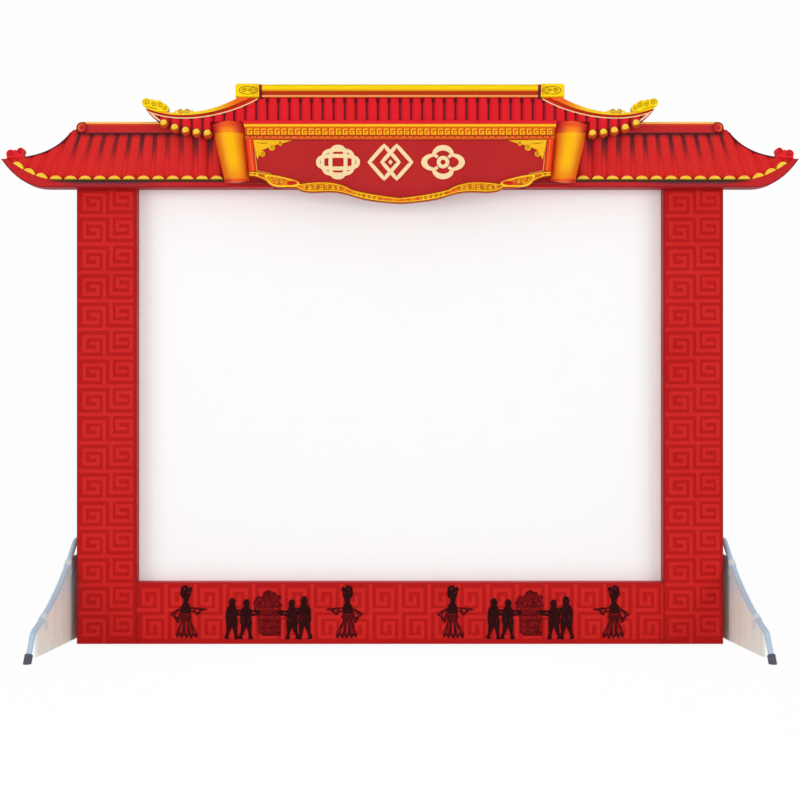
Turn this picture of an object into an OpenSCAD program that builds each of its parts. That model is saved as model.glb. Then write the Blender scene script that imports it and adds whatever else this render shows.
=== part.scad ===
// Tabletop shadow theatre: a red frame round a stretched white screen, under a two-tier tiled
// gate roof, kept upright by a pair of folding side wings. Sizes are in millimetres.

/* [Frame] */
// Width over the two posts
frame_w = 776; // [700:2:960]
// Front to back depth of the posts and rails
frame_d = 40; // [34:1:56]
// Width of a post's face
post_w = 72; // [64:1:90]
// Height of the bottom rail
rail_h = 74; // [66:1:100]
// Clear height of the screen opening
opening_h = 474; // [380:2:600]
// Height of the top rail behind the roof
top_rail_h = 60; // [56:1:80]
// Width of the step behind the opening that takes the screen
rebate_w = 24; // [18:1:28]
// Depth of that step from the rear face
rebate_d = 24; // [18:1:28]
// Length of the rail tenons in the posts
tenon_l = 30; // [20:1:40]
// Thickness of the rail tenons
tenon_t = 12; // [8:1:16]
// Clearance round a tenon
tenon_gap = 0.2; // [0.1:0.1:0.5]
// Chamfer on the outer front edges of the posts
edge_cut = 1; // [0.5:0.5:3]

/* [Screen] */
// Width of a stretcher bar
bar_w = 22; // [16:1:26]
// Space between the stretcher and the step it sits in
bar_gap = 1; // [0.5:0.5:2]
// Thickness of the screen cloth with its size
cloth_t = 0.6; // [0.4:0.1:1]
// Space before and behind the cloth
cloth_gap = 0.1; // [0.1:0.1:0.3]

/* [Turn buttons] */
// Length of a button beyond its pivot
button_reach = 25; // [20:1:30]
// Width across a button's round ends
button_w = 14; // [10:1:18]
// Thickness of a button
button_t = 3; // [2:0.5:4]
// Distance from the step to a button's pivot
button_set = 12; // [9:1:14]
// Radius of a pivot screw
pivot_r = 2; // [1.5:0.25:2.5]
// Running clearance of a turning bore
run_gap = 0.08; // [0.05:0.01:0.1]
// Distance of the top and bottom buttons from the middle
button_x = 150; // [60:5:190]
// Height of the side buttons
button_z = 300; // [200:5:380]

/* [Corner plates and screws] */
// Length of a corner plate's long arm
plate_l = 80; // [70:1:95]
// Length of its short arm
plate_h = 50; // [40:1:60]
// Width of its arms
plate_w = 14; // [12:1:18]
// Thickness of a corner plate
plate_t = 1.5; // [1:0.25:2]
// Distance of a plate's back from the end of the frame
plate_inset = 12; // [10:1:16]
// Shank radius of a wood screw
screw_r = 1.9; // [1.5:0.1:2.2]
// Head radius of a wood screw
screw_head_r = 3.8; // [3:0.1:4.2]
// Length of a plate screw
screw_l = 18; // [12:1:24]
// Clearance round a screw
screw_gap = 0.1; // [0.05:0.05:0.3]

/* [Folding wings] */
// Height of the straight spine of a wing
wing_rise = 108; // [95:1:150]
// Outward splay of an open wing in degrees
wing_splay = 6.7; // [2:0.1:12]
// Radius of the wing's bent rod
rod_r = 3.2; // [3:0.1:5]
// Radius of the bend at the top
top_bend_r = 14; // [12:1:20]
// Slope just below the top bend in degrees
slope_top = 46; // [40:1:54]
// Slope at the foot of the long sweep in degrees
slope_end = 20; // [12:1:28]
// Radius of the long sweep
sweep_r = 345; // [260:5:400]
// Radius of the bend above the leg
leg_bend_r = 12; // [10:1:18]
// Slope of the leg in degrees
leg_slope = 61; // [50:1:75]
// Thickness of the wing panel
panel_t = 3; // [2:0.5:5]
// Length of the panel from the spine
panel_l = 150; // [110:1:155]
// Height of the panel's lower edge
panel_z = 3; // [2:0.5:8]
// Space between the panel and the rod
panel_gap = 0.3; // [0.2:0.1:0.6]
// Radius of the rubber foot
foot_r = 4.6; // [4.2:0.2:9]
// Length of rod inside the foot
foot_grip = 5; // [4:1:16]
// Distance of the spine from the side of the post
spine_out = 5; // [4.5:0.5:8]
// Distance of the spine behind the post
spine_back = 6; // [6:0.5:10]
// Height of a bracket eye
eye_h = 20; // [14:1:24]
// Outer radius of a bracket eye
eye_r = 6; // [5.5:0.5:8]
// Thickness of a bracket's plate
bracket_t = 2; // [1.5:0.5:3]
// Height of the lower and the upper bracket
bracket_z = [14, 84]; // [10:1:90]
// Width of a clip along the rod
clip_w = 8; // [6:1:16]
// Thickness of a clip
clip_t = 0.8; // [0.8:0.1:2]
// Length of a clip's ears over the panel
clip_ear = 7; // [6:1:14]

/* [Lower roof] */
// Thickness of the board that carries the roof
back_t = 10; // [8:1:14]
// Thickness of the eave strip
eave_t = 10; // [8:0.5:11]
// Thickness of a scalloped tile end
end_t = 14; // [11.5:0.5:16]
// Height of the eave strip
eave_h = 8.4; // [6:0.2:12]
// Height of the tiled slope above the eave strip
slope_h = 54.6; // [48:0.2:70]
// Height of the ridge bar
ridge_h = 14.2; // [10:0.2:18]
// Drop of the eave below the top of the opening
eave_drop = 3; // [0:0.5:6]
// Flat eave beyond the post
eave_out = 32; // [26:1:45]
// Curled tip beyond the post
tip_out = 85; // [76:1:105]
// Rise of the curled tip
tip_rise = 33.6; // [24:0.2:44]
// End of the concave slope beyond the post
slope_out = 57.2; // [48:0.2:66]
// Distance of the ridge bar's end inside the post's outer side
ridge_in = 11.5; // [8:0.5:20]
// Spacing of the barrel tiles
tile_pitch = 17.3; // [15:0.1:24]
// Radius of a barrel tile
tile_r = 8.6; // [7.8:0.1:9]
// Depth of a barrel tile's axis behind the face of its bed
tile_sink = 5.4; // [4.8:0.1:5.8]
// Thickness of the tile bed
tile_bed = 6; // [4:0.5:7]
// Radius of a scalloped tile end
end_r = 8.4; // [6:0.2:9]
// Height of a scalloped tile end
end_h = 5; // [3:0.5:7]

/* [Upper roof] */
// Thickness of the packing between the roofs
spacer_t = 12; // [12:1:18]
// Thickness of the upper roof's board
upper_t = 10; // [8:1:14]
// Height of the upper ridge's underside above the eave
upper_rise = 102.2; // [98:0.2:114]
// Half the length of the ridge beam
beam_half = 164.6; // [150:0.2:176]
// Height of the ridge beam
beam_h = 15; // [12:0.2:20]
// Overhang of the ridge beam in front of its board
beam_out = 12; // [10:0.5:16]
// Height of the beam's top moulding
beam_cap = 7.8; // [5:0.2:9]
// Depth of the red line round the beam
beam_groove = 2.5; // [1:0.5:4]
// Width of a ridge end block
block_w = 27.4; // [24:0.2:34]
// Half the span over the upper tips
upper_tip_x = 297.2; // [284:0.2:314]
// Spacing of the upper barrel tiles
upper_pitch = 13; // [11:0.2:15]
// Radius of an upper barrel tile
upper_tile_r = 7; // [6.2:0.1:7.2]
// Depth of an upper barrel tile's axis behind the face of its bed
upper_tile_sink = 4.2; // [3.8:0.1:4.8]
// Thickness of the upper tile bed
upper_bed = 3; // [2:0.5:5]
// Radius of a round tile end
round_end_r = 5.2; // [4:0.1:6]
// Spacing of the round tile ends
round_pitch = 12.75; // [11.5:0.05:13.5]
// Thickness of the swept hip band
band_t = 6; // [4:0.5:8]
// Height of the bead along its upper edge
bead_t = 3; // [1:0.5:5]

/* [Columns and name board] */
// Half the spacing of the columns at the top
column_x = 203; // [192:0.2:210]
// Lean of a column in degrees
column_lean = 9.5; // [0:0.5:12]
// Half the width of a column at the top
column_top = 18.8; // [15:0.2:24]
// Half the width of a column at the bottom
column_bottom = 14.1; // [11:0.1:20]
// Depth by which a column's axis lies behind its seat
column_sink = 6; // [2:0.5:10]
// Height of a column
column_h = 70.4; // [62:0.2:75]
// Height of the column's neck band
neck_h = 12.7; // [8:0.1:20]
// Height of the frieze
frieze_h = 17.2; // [14:0.2:20]
// Depths of the frieze's fret field, bead line and top moulding
frieze_t = [4, 6, 8]; // [3:0.5:9]
// Heights of its bead line and top moulding
frieze_line = [2.8, 3.6]; // [2:0.2:5]
// Thickness of the name board
name_t = 4; // [3:0.5:6]
// Width of the mouldings beside the name board
side_w = 8; // [5:0.5:12]
// Thickness of the name board's border
border_t = 5; // [3:0.5:7]
// Thickness of its side mouldings
side_t = 4; // [2:0.5:6]
// Thickness of its corner scrolls
scroll_t = 2.5; // [1.5:0.5:4]
// Gap between neighbouring pieces on the header
seat_gap = 0.2; // [0.1:0.1:0.4]

/* [Hidden] */

$fn = 48;
red = "#c0201e";
deep_red = "#a8181c";
wood = "#d9b98a";
gold = "#f2b21c";
amber = "#f0881a";
steel = "#9fa6ad";

// Frame outline
half_w = frame_w / 2;
open_half = half_w - post_w;
rear = frame_d / 2;
open_top = rail_h + opening_h;
frame_top = open_top + top_rail_h;
shoulder = rebate_d - rear;
tenon_edge = 6;

// Stretcher outline
bar_out = open_half + rebate_w - bar_gap;
bar_bottom = rail_h - rebate_w + bar_gap;
bar_top = open_top + rebate_w - bar_gap;
bar_front = shoulder - cloth_t - 2 * cloth_gap;

// Turn button pivots as [x, z, turn of the arm about y]
side_pivot = open_half + rebate_w + button_set;
low_pivot = rail_h - rebate_w - button_set;
high_pivot = open_top + rebate_w + button_set;
pivots = [
    [-button_x, high_pivot, 90], [button_x, high_pivot, 90],
    [-button_x, low_pivot, -90], [button_x, low_pivot, -90],
    [-side_pivot, button_z, 0], [side_pivot, button_z, 180]
];
button_lift = 0.3;
button_waist = 1.5;
pivot_depth = 14;
pivot_head_r = 5;
pivot_head_h = 2.4;

// Corner plate and screw places, left half, as [x, z]
plate_back = side_pivot + plate_w / 2;
plate_mid = plate_back - plate_w / 2;
plate_low = plate_inset + plate_w / 2;
plate_high = frame_top - plate_low;
plate_screw_in = 7;
plate_screws = [
    for (end = [[plate_low, 1], [plate_high, -1]], spot = [
            [-plate_mid, 0], [-plate_mid, plate_h - plate_w / 2 - plate_screw_in],
            [plate_l - plate_back - plate_screw_in - 13, 0], [plate_l - plate_back - plate_screw_in, 0]
        ])
        [spot[0], end[0] + end[1] * spot[1]]
];
bracket_in = 24;
bracket_screw_x = 15;
bracket_screw_dz = 6;
spine_x = half_w + spine_out;
spine_y = rear + spine_back;
bracket_screws = [
    for (z = bracket_z, dz = [-bracket_screw_dz, bracket_screw_dz])
        [bracket_screw_x - spine_x, z + eye_h / 2 + dz]
];
header_screw_l = frame_d + back_t - 3;
header_screw_drop = 18;
header_screw_x = [half_w - 10, 220, 60];
header_screws = [for (x = header_screw_x) [-x, frame_top - header_screw_drop]];
screw_head_h = 2;

// Distances in front of the frame's middle plane
back_front = rear + back_t;
bed_front = back_front + tile_bed;
eave_front = back_front + eave_t;
end_front = back_front + end_t;
spacer_front = back_front + spacer_t;
upper_front = spacer_front + upper_t;

// Lower roof outline, left half
eave_z = open_top - eave_drop;
eave_top = eave_z + eave_h;
slope_top_z = eave_top + slope_h;
roof_top = slope_top_z + ridge_h;
spacer_half = 196;
eave_inner = 150;
eave_sweep = 30;
strip_sweep = 30;
strip_in = 16;
slope_sweep = 13.6;
slope_sag = 6;
foot_lift = 2.4;
head_in = 4.5;
head_drop = 1.2;
tip = [-half_w - tip_out, eave_z + tip_rise];
eave_end = -half_w - eave_out;
eave_curve = quad([eave_end, eave_z], [eave_end - eave_sweep, eave_z], tip);
strip_start = [eave_end + strip_in, eave_top];
slope_foot = [-half_w - slope_out, eave_z + tip_rise + foot_lift];
strip_curve = quad(strip_start, strip_start - [strip_sweep, 0], tip + (slope_foot - tip) / 4);
slope_head = [head_in - half_w, roof_top - head_drop];
slope_curve = quad(slope_head, [-half_w - slope_sweep, slope_foot[1] + slope_sag], slope_foot);
ridge_x = ridge_in - half_w;
ridge_mid_z = slope_top_z + ridge_h / 2;
roof_side = concat(eave_curve, [slope_foot], reversed(slope_curve), [[ridge_x, roof_top]]);
fan_start = 260;
fan_rate = 0.13;
end_first = half_w + 19.2;
end_last = column_x + 8;
curl_places = [for (d = [36.4, 50.8, 64.2]) -half_w - d];
flat_places = [for (x = [end_first : -tile_pitch : end_last]) -x];
curl_end_r = end_r - 1;
ridge_front = spacer_front;
ridge_end_r = ridge_h / 2 - 0.6;
ridge_boss = 2;
crest_lobes = [[-62, 43, 4.2], [-68, 39.6, 4.9], [-73.8, 39.6, 5.3]];
crest_seat = [-78.5, 20, 6];

// Upper roof outline, left half
upper_top = eave_z + upper_rise;
board_lap = 4;
spacer_lift = 0.6;
block_out = beam_half + block_w + seat_gap;
hip_drop = 11.6;
hip_tip = [-upper_tip_x, upper_top - hip_drop];
hip_root = [-beam_half - 21.2, upper_top + 2.1];
hip_outer = cubic(hip_root, hip_root - [32.2, 19.6], hip_tip + [36.2, -12.7], hip_tip);
inner_tip = hip_tip - [0, 3];
inner_root = [2.8 - beam_half, upper_top + 2.9];
hip_inner = cubic(inner_root, inner_root - [32.7, 21.3], inner_tip + [41.3, -18.4], inner_tip);
hip_curl_r = 3.4;
hip_curls = [for (d = [40.2, 47.8]) let(x = d - upper_tip_x) [x, lookup(x, hip_outer) + 1.2]];
bead_share = 0.62;
hip_bead = [for (i = [0 : len(hip_outer) - 1]) (1 - bead_share) * hip_outer[i] + bead_share * hip_inner[i]];
low_corner_out = 18.5;
low_corner_rise = 58.3;
upper_low = [-column_x - low_corner_out, eave_z + low_corner_rise];
under_curve = quad(inner_tip, inner_tip + [20, 2.3 + upper_low[1] - inner_tip[1]], upper_low);
column_rise = 73.6;
column_clear = 0.8;
column_top_z = eave_z + column_rise;
field_low = column_top_z + column_clear;
round_first = column_x + 22.6;
upper_end_places = [for (k = [0 : 4]) -round_first - k * round_pitch];
inner_ribs = [for (k = [0 : 14]) (k + 0.5) * upper_pitch];
outer_ribs = [for (k = [-2 : 5]) round_first + k * round_pitch];
band_front = upper_front + band_t;
bead_front = band_front + bead_t;
round_end_front = upper_front + upper_bed + 6;
beam_front = upper_front + beam_out;
beam_round = 2;
beam_foot = 2.4;
block_front = beam_front + 2;
block_cut = 2;
cloud_front = bead_front + 1;
cloud_lobes = [[-0.2, 5.9, 4.6], [7, 3.9, 5.2], [14.2, 2.7, 5.4], [20.8, -0.1, 4.3]];
cloud_body = [[-4, 4], [0, 8.5], [8, 7], [15, 5.5], [24, -1], [24, -9], [0, 0]];

// Columns and name board
column_low_z = column_top_z - column_h;
column_step = column_h * tan(column_lean);
column_slope = (column_top - column_bottom) / column_h;
ring_out = 0.8;
frieze_top = column_top_z - 2.4;
name_top = frieze_top - frieze_h;
name_front = upper_front + name_t;
name_edge_z = eave_z + 10;
board_side = column_in(name_edge_z);
border_step = 5.8;
low_edge = chain([
    [[board_side, name_edge_z], [-162, name_edge_z - 1], [-152.4, eave_z + 1]],
    [[-152.4, eave_z + 1], [-146.6, eave_z - 4], [-121, eave_z - 3.6]],
    [[-121, eave_z - 3.6], [-115.2, eave_z - 9.4], [-96.8, eave_z - 8.8]],
    [[-96.8, eave_z - 8.8], [-74.2, eave_z - 6.4], [-56.6, eave_z - 12.8]],
    [[-56.6, eave_z - 12.8], [-37, eave_z - 20], [0, eave_z - 21.6]]
]);
field_edge = chain([
    [[board_side, name_edge_z + border_step], [-162, name_edge_z + border_step], [-148.4, eave_z + 11.2]],
    [[-148.4, eave_z + 11.2], [-125, eave_z + 7.8], [-118.2, eave_z + 1]],
    [[-118.2, eave_z + 1], [-97.6, eave_z + 4.4], [-82, eave_z + 3]],
    [[-82, eave_z + 3], [-66.4, eave_z + 1], [-56.6, eave_z - 5.4]],
    [[-56.6, eave_z - 5.4], [-39, eave_z - 10.8], [0, eave_z - 15.2]]
]);

// Wing rod: bend centres and the points between the runs, in the wing's own plane
rod_low = 3;
top_centre = [top_bend_r, wing_rise];
sweep_start = top_centre + top_bend_r * [sin(slope_top), cos(slope_top)];
sweep_centre = sweep_start + sweep_r * [sin(slope_top), cos(slope_top)];
sweep_end = sweep_centre - sweep_r * [sin(slope_end), cos(slope_end)];
leg_centre = sweep_end - leg_bend_r * [sin(slope_end), cos(slope_end)];
leg_start = leg_centre + leg_bend_r * [sin(leg_slope), cos(leg_slope)];
leg_end_z = 4.6;
leg_l = (leg_start[1] - leg_end_z) / sin(leg_slope);
bend_swell = 0.02;
run_in = 0.5;
run_turn = run_in / sweep_r * 180 / PI;
panel_in = eye_r + 2;
panel_top = bracket_z[1] + eye_h;
collar_h = 6;
collar_r = eye_r + 1;
collar_lift = 0.3;
clip_rest = 0.15;
clip_share = [0.2, 0.82];
spine_clip_z = (bracket_z[0] + bracket_z[1] + eye_h) / 2 - clip_w / 2;

function quad(a, b, c, n = 8) = [
    for (i = [0 : n]) let(t = i / n) (1 - t) * (1 - t) * a + 2 * t * (1 - t) * b + t * t * c
];
function cubic(a, b, c, d, n = 12) = [
    for (i = [0 : n]) let(t = i / n, s = 1 - t)
        s * s * s * a + 3 * s * s * t * b + 3 * s * t * t * c + t * t * t * d
];
// Quadratic curves end to end, each shared point once
function chain(curves, n = 6) = concat(
    [for (c = curves, i = [0 : n - 1]) let(t = i / n)
        (1 - t) * (1 - t) * c[0] + 2 * t * (1 - t) * c[1] + t * t * c[2]],
    [curves[len(curves) - 1][2]]
);
function reversed(points) = [for (i = [len(points) - 1 : -1 : 0]) points[i]];
function mirrored(points) = [for (p = reversed(points)) [-p[0], p[1]]];
function whole(left) = concat(left, mirrored([for (p = left) if (p[0] < 0) p]));
function but_last(points) = [for (i = [0 : len(points) - 2]) points[i]];
function slope_at(curve, x) = atan((lookup(x + 1, curve) - lookup(x - 1, curve)) / 2);
// Inner and outer edge of the left column at height z
function column_axis(z) = -column_x + (column_top_z - z) * tan(column_lean);
function column_half(z) = column_top - (column_top_z - z) * column_slope;
function column_in(z) = column_axis(z) + column_half(z) + ring_out + seat_gap;
function column_out(z) = column_axis(z) - column_half(z);

// A flat shape drawn in x and z, filled between two distances in front of the middle plane
module layer(back, front) {
    translate([0, -back, 0]) rotate([90, 0, 0]) linear_extrude(front - back) children();
}

// The left half's pieces are drawn, and the right half's are their mirror image
module sided(side) {
    mirror([side > 0 ? 1 : 0, 0, 0]) children();
}

module both_sides() {
    children();
    mirror([1, 0, 0]) children();
}

module wood_screw(l, grow = 0) {
    rotate([90, 0, 0]) rotate_extrude() polygon([
        [0, 0], [screw_head_r + grow, 0], [screw_r + grow, screw_head_h], [screw_r + grow, l], [0, l]
    ]);
}

// The screws of the left half, each drawn from its head towards the front
module left_screws(grow = 0) {
    for (p = plate_screws) translate([p[0], rear + plate_t, p[1]]) wood_screw(screw_l + grow, grow);
    for (p = bracket_screws) translate([p[0], rear + bracket_t, p[1]]) wood_screw(screw_l + grow, grow);
    for (p = header_screws) translate([p[0], rear, p[1]]) wood_screw(header_screw_l + grow, grow);
}

module pivot_holes() {
    for (p = pivots)
        translate([p[0], rear + 1, p[1]]) rotate([90, 0, 0])
            cylinder(r = pivot_r + screw_gap, h = pivot_depth + 2);
}

// Tenon of a rail's left end between two heights, or its mortise when grown by a gap
module tenon(low, high, grow = 0) {
    translate([-open_half - tenon_l - grow, -tenon_t / 2 - grow, low - grow])
        cube([tenon_l + 2 * grow + 1, tenon_t + 2 * grow, high - low + 2 * grow]);
}

module bottom_tenon(grow = 0) tenon(tenon_edge, rail_h - rebate_w - tenon_edge, grow);

module top_tenon(grow = 0) tenon(open_top + rebate_w + tenon_edge, frame_top - tenon_edge, grow);

module screen_step() {
    translate([-open_half - rebate_w, rear - rebate_d, rail_h - rebate_w])
        cube([2 * (open_half + rebate_w), rebate_d + 1, opening_h + 2 * rebate_w]);
}

module post(side) {
    color(red) sided(side) difference() {
        linear_extrude(frame_top) polygon([
            [-half_w, rear], [-half_w, edge_cut - rear], [edge_cut - half_w, -rear],
            [-open_half, -rear], [-open_half, rear]
        ]);
        screen_step();
        bottom_tenon(tenon_gap);
        top_tenon(tenon_gap);
        left_screws(screw_gap);
        pivot_holes();
    }
}

module rail(low, high) {
    difference() {
        translate([-open_half, -rear, low]) cube([2 * open_half, frame_d, high - low]);
        screen_step();
        both_sides() left_screws(screw_gap);
        pivot_holes();
    }
}

module bottom_rail() {
    color(red) {
        rail(0, rail_h);
        both_sides() bottom_tenon();
    }
}

module top_rail() {
    color(red) {
        rail(open_top, frame_top);
        both_sides() top_tenon();
    }
}

module corner_plate(z, up) {
    translate([0, 0, z]) mirror([0, 0, up > 0 ? 0 : 1]) layer(-rear - plate_t, -rear) {
        translate([-plate_back, -plate_w / 2]) square([plate_l, plate_w]);
        translate([-plate_back, -plate_w / 2]) square([plate_w, plate_h]);
    }
}

module corner_plates() {
    color(steel) both_sides() difference() {
        union() {
            corner_plate(plate_low, 1);
            corner_plate(plate_high, -1);
        }
        left_screws(screw_gap);
    }
}

module wood_screws() {
    color(steel) both_sides() left_screws();
}

// Stretcher bars with mitred corners
module side_bar(side) {
    color(wood) sided(side) layer(-rear, bar_front) polygon([
        [-bar_out, bar_bottom], [bar_w - bar_out, bar_bottom + bar_w],
        [bar_w - bar_out, bar_top - bar_w], [-bar_out, bar_top]
    ]);
}

module level_bar(edge, inner) {
    color(wood) layer(-rear, bar_front) polygon([
        [-bar_out, edge], [bar_out, edge], [bar_out - bar_w, inner], [bar_w - bar_out, inner]
    ]);
}

module screen_cloth() {
    color("white") layer(bar_front + cloth_gap, shoulder - cloth_gap)
        translate([-bar_out, bar_bottom]) square([2 * bar_out, bar_top - bar_bottom]);
}

module turn_button(p) {
    color(steel) translate([p[0], rear + button_lift, p[1]]) rotate([0, p[2], 0]) rotate([-90, 0, 0])
        difference() {
            linear_extrude(button_t) union() {
                circle(button_w / 2);
                translate([button_reach - button_w / 2, 0]) circle(button_w / 2);
                translate([0, button_waist - button_w / 2])
                    square([button_reach - button_w / 2, button_w - 2 * button_waist]);
            }
            translate([0, 0, -1]) cylinder(r = pivot_r + run_gap, h = button_t + 2);
        }
}

module button_screws() {
    seat = pivot_depth + button_t + 2 * button_lift;
    color(steel) for (p = pivots)
        translate([p[0], rear - pivot_depth, p[1]]) rotate([-90, 0, 0]) rotate_extrude() polygon([
            [0, 0], [pivot_r, 0], [pivot_r, seat], [pivot_head_r, seat],
            [pivot_head_r * 0.8, seat + pivot_head_h * 0.7], [pivot_head_r * 0.4, seat + pivot_head_h],
            [0, seat + pivot_head_h]
        ]);
}

// Silhouette of the lower roof
module lower_outline() {
    polygon(whole(roof_side));
}

module roof_backboard() {
    color(deep_red) difference() {
        layer(rear, back_front) polygon(whole(concat(
            roof_side, [[-eave_inner, roof_top], [-eave_inner, upper_top - board_lap]]
        )));
        both_sides() left_screws(screw_gap);
    }
}

module eave_strip() {
    polygon(concat([[-eave_inner, eave_z]], eave_curve, reversed(strip_curve), [[-eave_inner, eave_top]]));
}

module lower_eave(side) {
    color(deep_red) sided(side) layer(back_front, eave_front) eave_strip();
}

// A scalloped tile end at x, reaching down behind the top of the eave strip
module tile_end(x, r, grow = 0) {
    translate([x, lookup(x, strip_curve)]) rotate(slope_at(strip_curve, x)) intersection() {
        translate([0, end_h - r]) circle(r + grow);
        translate([-r - 1, -2]) square([2 * r + 2, end_h + 4]);
    }
}

module tile_ends(grow = 0) {
    for (x = flat_places) tile_end(x, end_r, grow);
    for (x = curl_places) tile_end(x, curl_end_r, grow);
}

module lower_tile_ends() {
    color(gold) both_sides() layer(back_front, end_front) difference() {
        tile_ends();
        eave_strip();
    }
}

module ridge_end(grow = 0) {
    translate([ridge_x, ridge_mid_z]) circle(ridge_end_r + grow);
}

module tile_field() {
    difference() {
        polygon(concat(
            [[-spacer_half - seat_gap, eave_top]], strip_curve, [slope_foot],
            [for (p = reversed(slope_curve)) if (p[1] < ridge_mid_z) p],
            [[ridge_x, ridge_mid_z], [ridge_x, slope_top_z], [-spacer_half - seat_gap, slope_top_z]]
        ));
        tile_ends(seat_gap);
        ridge_end(seat_gap);
    }
}

// One barrel tile standing on the eave at x, fanned outwards near the tip
module barrel_tile(x) {
    lean = max(0, (-x - fan_start) * fan_rate);
    translate([x, tile_sink - bed_front, lookup(x, strip_curve)]) rotate([0, lean, 0])
        translate([0, 0, -8]) cylinder(r = tile_r, h = slope_h + 40);
}

module lower_tiles(side) {
    color(red) sided(side) {
        layer(back_front, bed_front) tile_field();
        intersection() {
            layer(back_front, bed_front + tile_r) tile_field();
            for (x = concat(curl_places, flat_places)) barrel_tile(x);
        }
    }
}

module lower_ridge(side) {
    color(deep_red) sided(side) union() {
        layer(back_front, ridge_front) translate([ridge_x, slope_top_z])
            square([-ridge_x - spacer_half - seat_gap, ridge_h]);
        layer(back_front, ridge_front + ridge_boss) ridge_end();
    }
}

module crest(side) {
    color(red) sided(side) layer(back_front, eave_front) difference() {
        union() {
            for (lobe = crest_lobes) translate([-half_w + lobe[0], eave_z + lobe[1]]) circle(lobe[2]);
            translate([crest_seat[0] - half_w, eave_z + tip_rise]) square([crest_seat[1], crest_seat[2]]);
        }
        lower_outline();
    }
}

module header_spacer() {
    color(deep_red) layer(back_front, spacer_front)
        translate([-spacer_half, eave_top + spacer_lift])
            square([2 * spacer_half, upper_top - board_lap - eave_top - spacer_lift]);
}

// Board behind the upper roof and the name board
module upper_roof_board() {
    left = concat(
        [[-block_out, upper_top], [-block_out, lookup(-block_out, hip_outer)]],
        [for (p = hip_outer) if (p[0] < -block_out) p], under_curve,
        [[column_out(upper_low[1]) + 3, upper_low[1]], [column_out(column_low_z) + 3, column_low_z]]
    );
    color(deep_red) layer(spacer_front, upper_front) polygon(whole(left));
}

module round_end(x, grow = 0) {
    translate([x, lookup(x, under_curve) + 1]) circle(round_end_r + grow);
}

module upper_tile_ends() {
    color(gold) both_sides() for (x = upper_end_places)
        layer(upper_front, round_end_front) round_end(x);
}

module hip_region(edge) {
    intersection() {
        polygon(concat(edge, reversed(hip_inner)));
        translate([-upper_tip_x - 1, 0]) square([upper_tip_x + 1, upper_top]);
    }
}

module hip_band(side) {
    color(amber) sided(side) union() {
        layer(upper_front, band_front) hip_region(hip_outer);
        layer(upper_front, bead_front) intersection() {
            polygon(concat(hip_outer, reversed(hip_bead)));
            translate([-upper_tip_x - 1, 0]) square([upper_tip_x + 1, upper_top]);
        }
        layer(upper_front, bead_front) for (p = hip_curls) translate(p) circle(hip_curl_r);
    }
}

module upper_field() {
    left = concat(
        [[inner_root[0] + 4, upper_top]], [for (p = hip_inner) if (p[1] < upper_top) p], under_curve,
        [[column_out(field_low) - 1, field_low]]
    );
    difference() {
        polygon(whole(left));
        both_sides() {
            hip_region(hip_outer);
            for (x = upper_end_places) round_end(x, seat_gap);
        }
    }
}

module upper_tiles() {
    color(red) intersection() {
        layer(upper_front, upper_front + upper_bed + upper_tile_r) upper_field();
        translate([0, 0, upper_low[1] - 2]) linear_extrude(upper_top - upper_low[1] + 4) {
            translate([-upper_tip_x, -upper_front - upper_bed]) square([2 * upper_tip_x, upper_bed]);
            for (x = concat(inner_ribs, outer_ribs), side = [-1, 1])
                translate([side * x, upper_tile_sink - upper_front - upper_bed]) circle(upper_tile_r);
        }
    }
}

module upper_ridge_beam() {
    color(gold) translate([-beam_half, 0, upper_top]) rotate([90, 0, 90]) linear_extrude(2 * beam_half)
        polygon([
            [-spacer_front, 0], [-spacer_front, beam_h], [beam_round - beam_front, beam_h],
            [-beam_front, beam_h - beam_round], [-beam_front, beam_h - beam_cap],
            [beam_groove - beam_front, beam_h - beam_cap - 0.4], [beam_groove - beam_front, beam_foot + 0.4],
            [1 - beam_front, beam_foot], [1 - beam_front, 0]
        ]);
}

module ridge_block(side) {
    color(gold) sided(side) layer(spacer_front, block_front) translate([-block_out, upper_top]) polygon([
        [0, 0], [block_w, 0], [block_w, beam_h], [block_cut, beam_h], [0, beam_h - block_cut]
    ]);
}

module tip_cloud(side) {
    color(gold) sided(side) layer(spacer_front + 2, cloud_front) difference() {
        union() {
            for (lobe = cloud_lobes) translate(hip_tip + [lobe[0], lobe[1]]) circle(lobe[2]);
            translate(hip_tip) polygon(cloud_body);
        }
        polygon(concat(hip_outer, under_curve, [[-180, upper_low[1]], [-180, upper_top]]));
    }
}

module frieze_part(low, high, depth) {
    layer(upper_front, upper_front + depth) polygon([
        [column_in(high), high], [column_in(low), low], [-column_in(low), low], [-column_in(high), high]
    ]);
}

module frieze() {
    color(gold) {
        frieze_part(name_top, frieze_top, frieze_t[0]);
        frieze_part(name_top + 1.2, name_top + 1.2 + frieze_line[0], frieze_t[1]);
        frieze_part(frieze_top - frieze_line[1], frieze_top, frieze_t[2]);
    }
}

module nameplate() {
    color(deep_red) layer(upper_front, name_front)
        polygon(whole(concat([[column_in(name_top), name_top - seat_gap]], low_edge)));
}

module nameplate_border() {
    left = but_last(low_edge);
    inner = but_last(field_edge);
    color(gold) layer(name_front, name_front + border_t) polygon(concat(
        left, [low_edge[len(left)]], mirrored(left), reversed(mirrored(inner)), [field_edge[len(inner)]],
        reversed(inner)
    ));
}

module side_mouldings() {
    low = name_edge_z + border_step + seat_gap;
    high = name_top - seat_gap;
    color(amber) both_sides() layer(name_front, name_front + side_t) polygon([
        [column_in(high), high], [column_in(low), low], [column_in(low) + side_w, low],
        [column_in(high) + side_w, high]
    ]);
}

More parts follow.
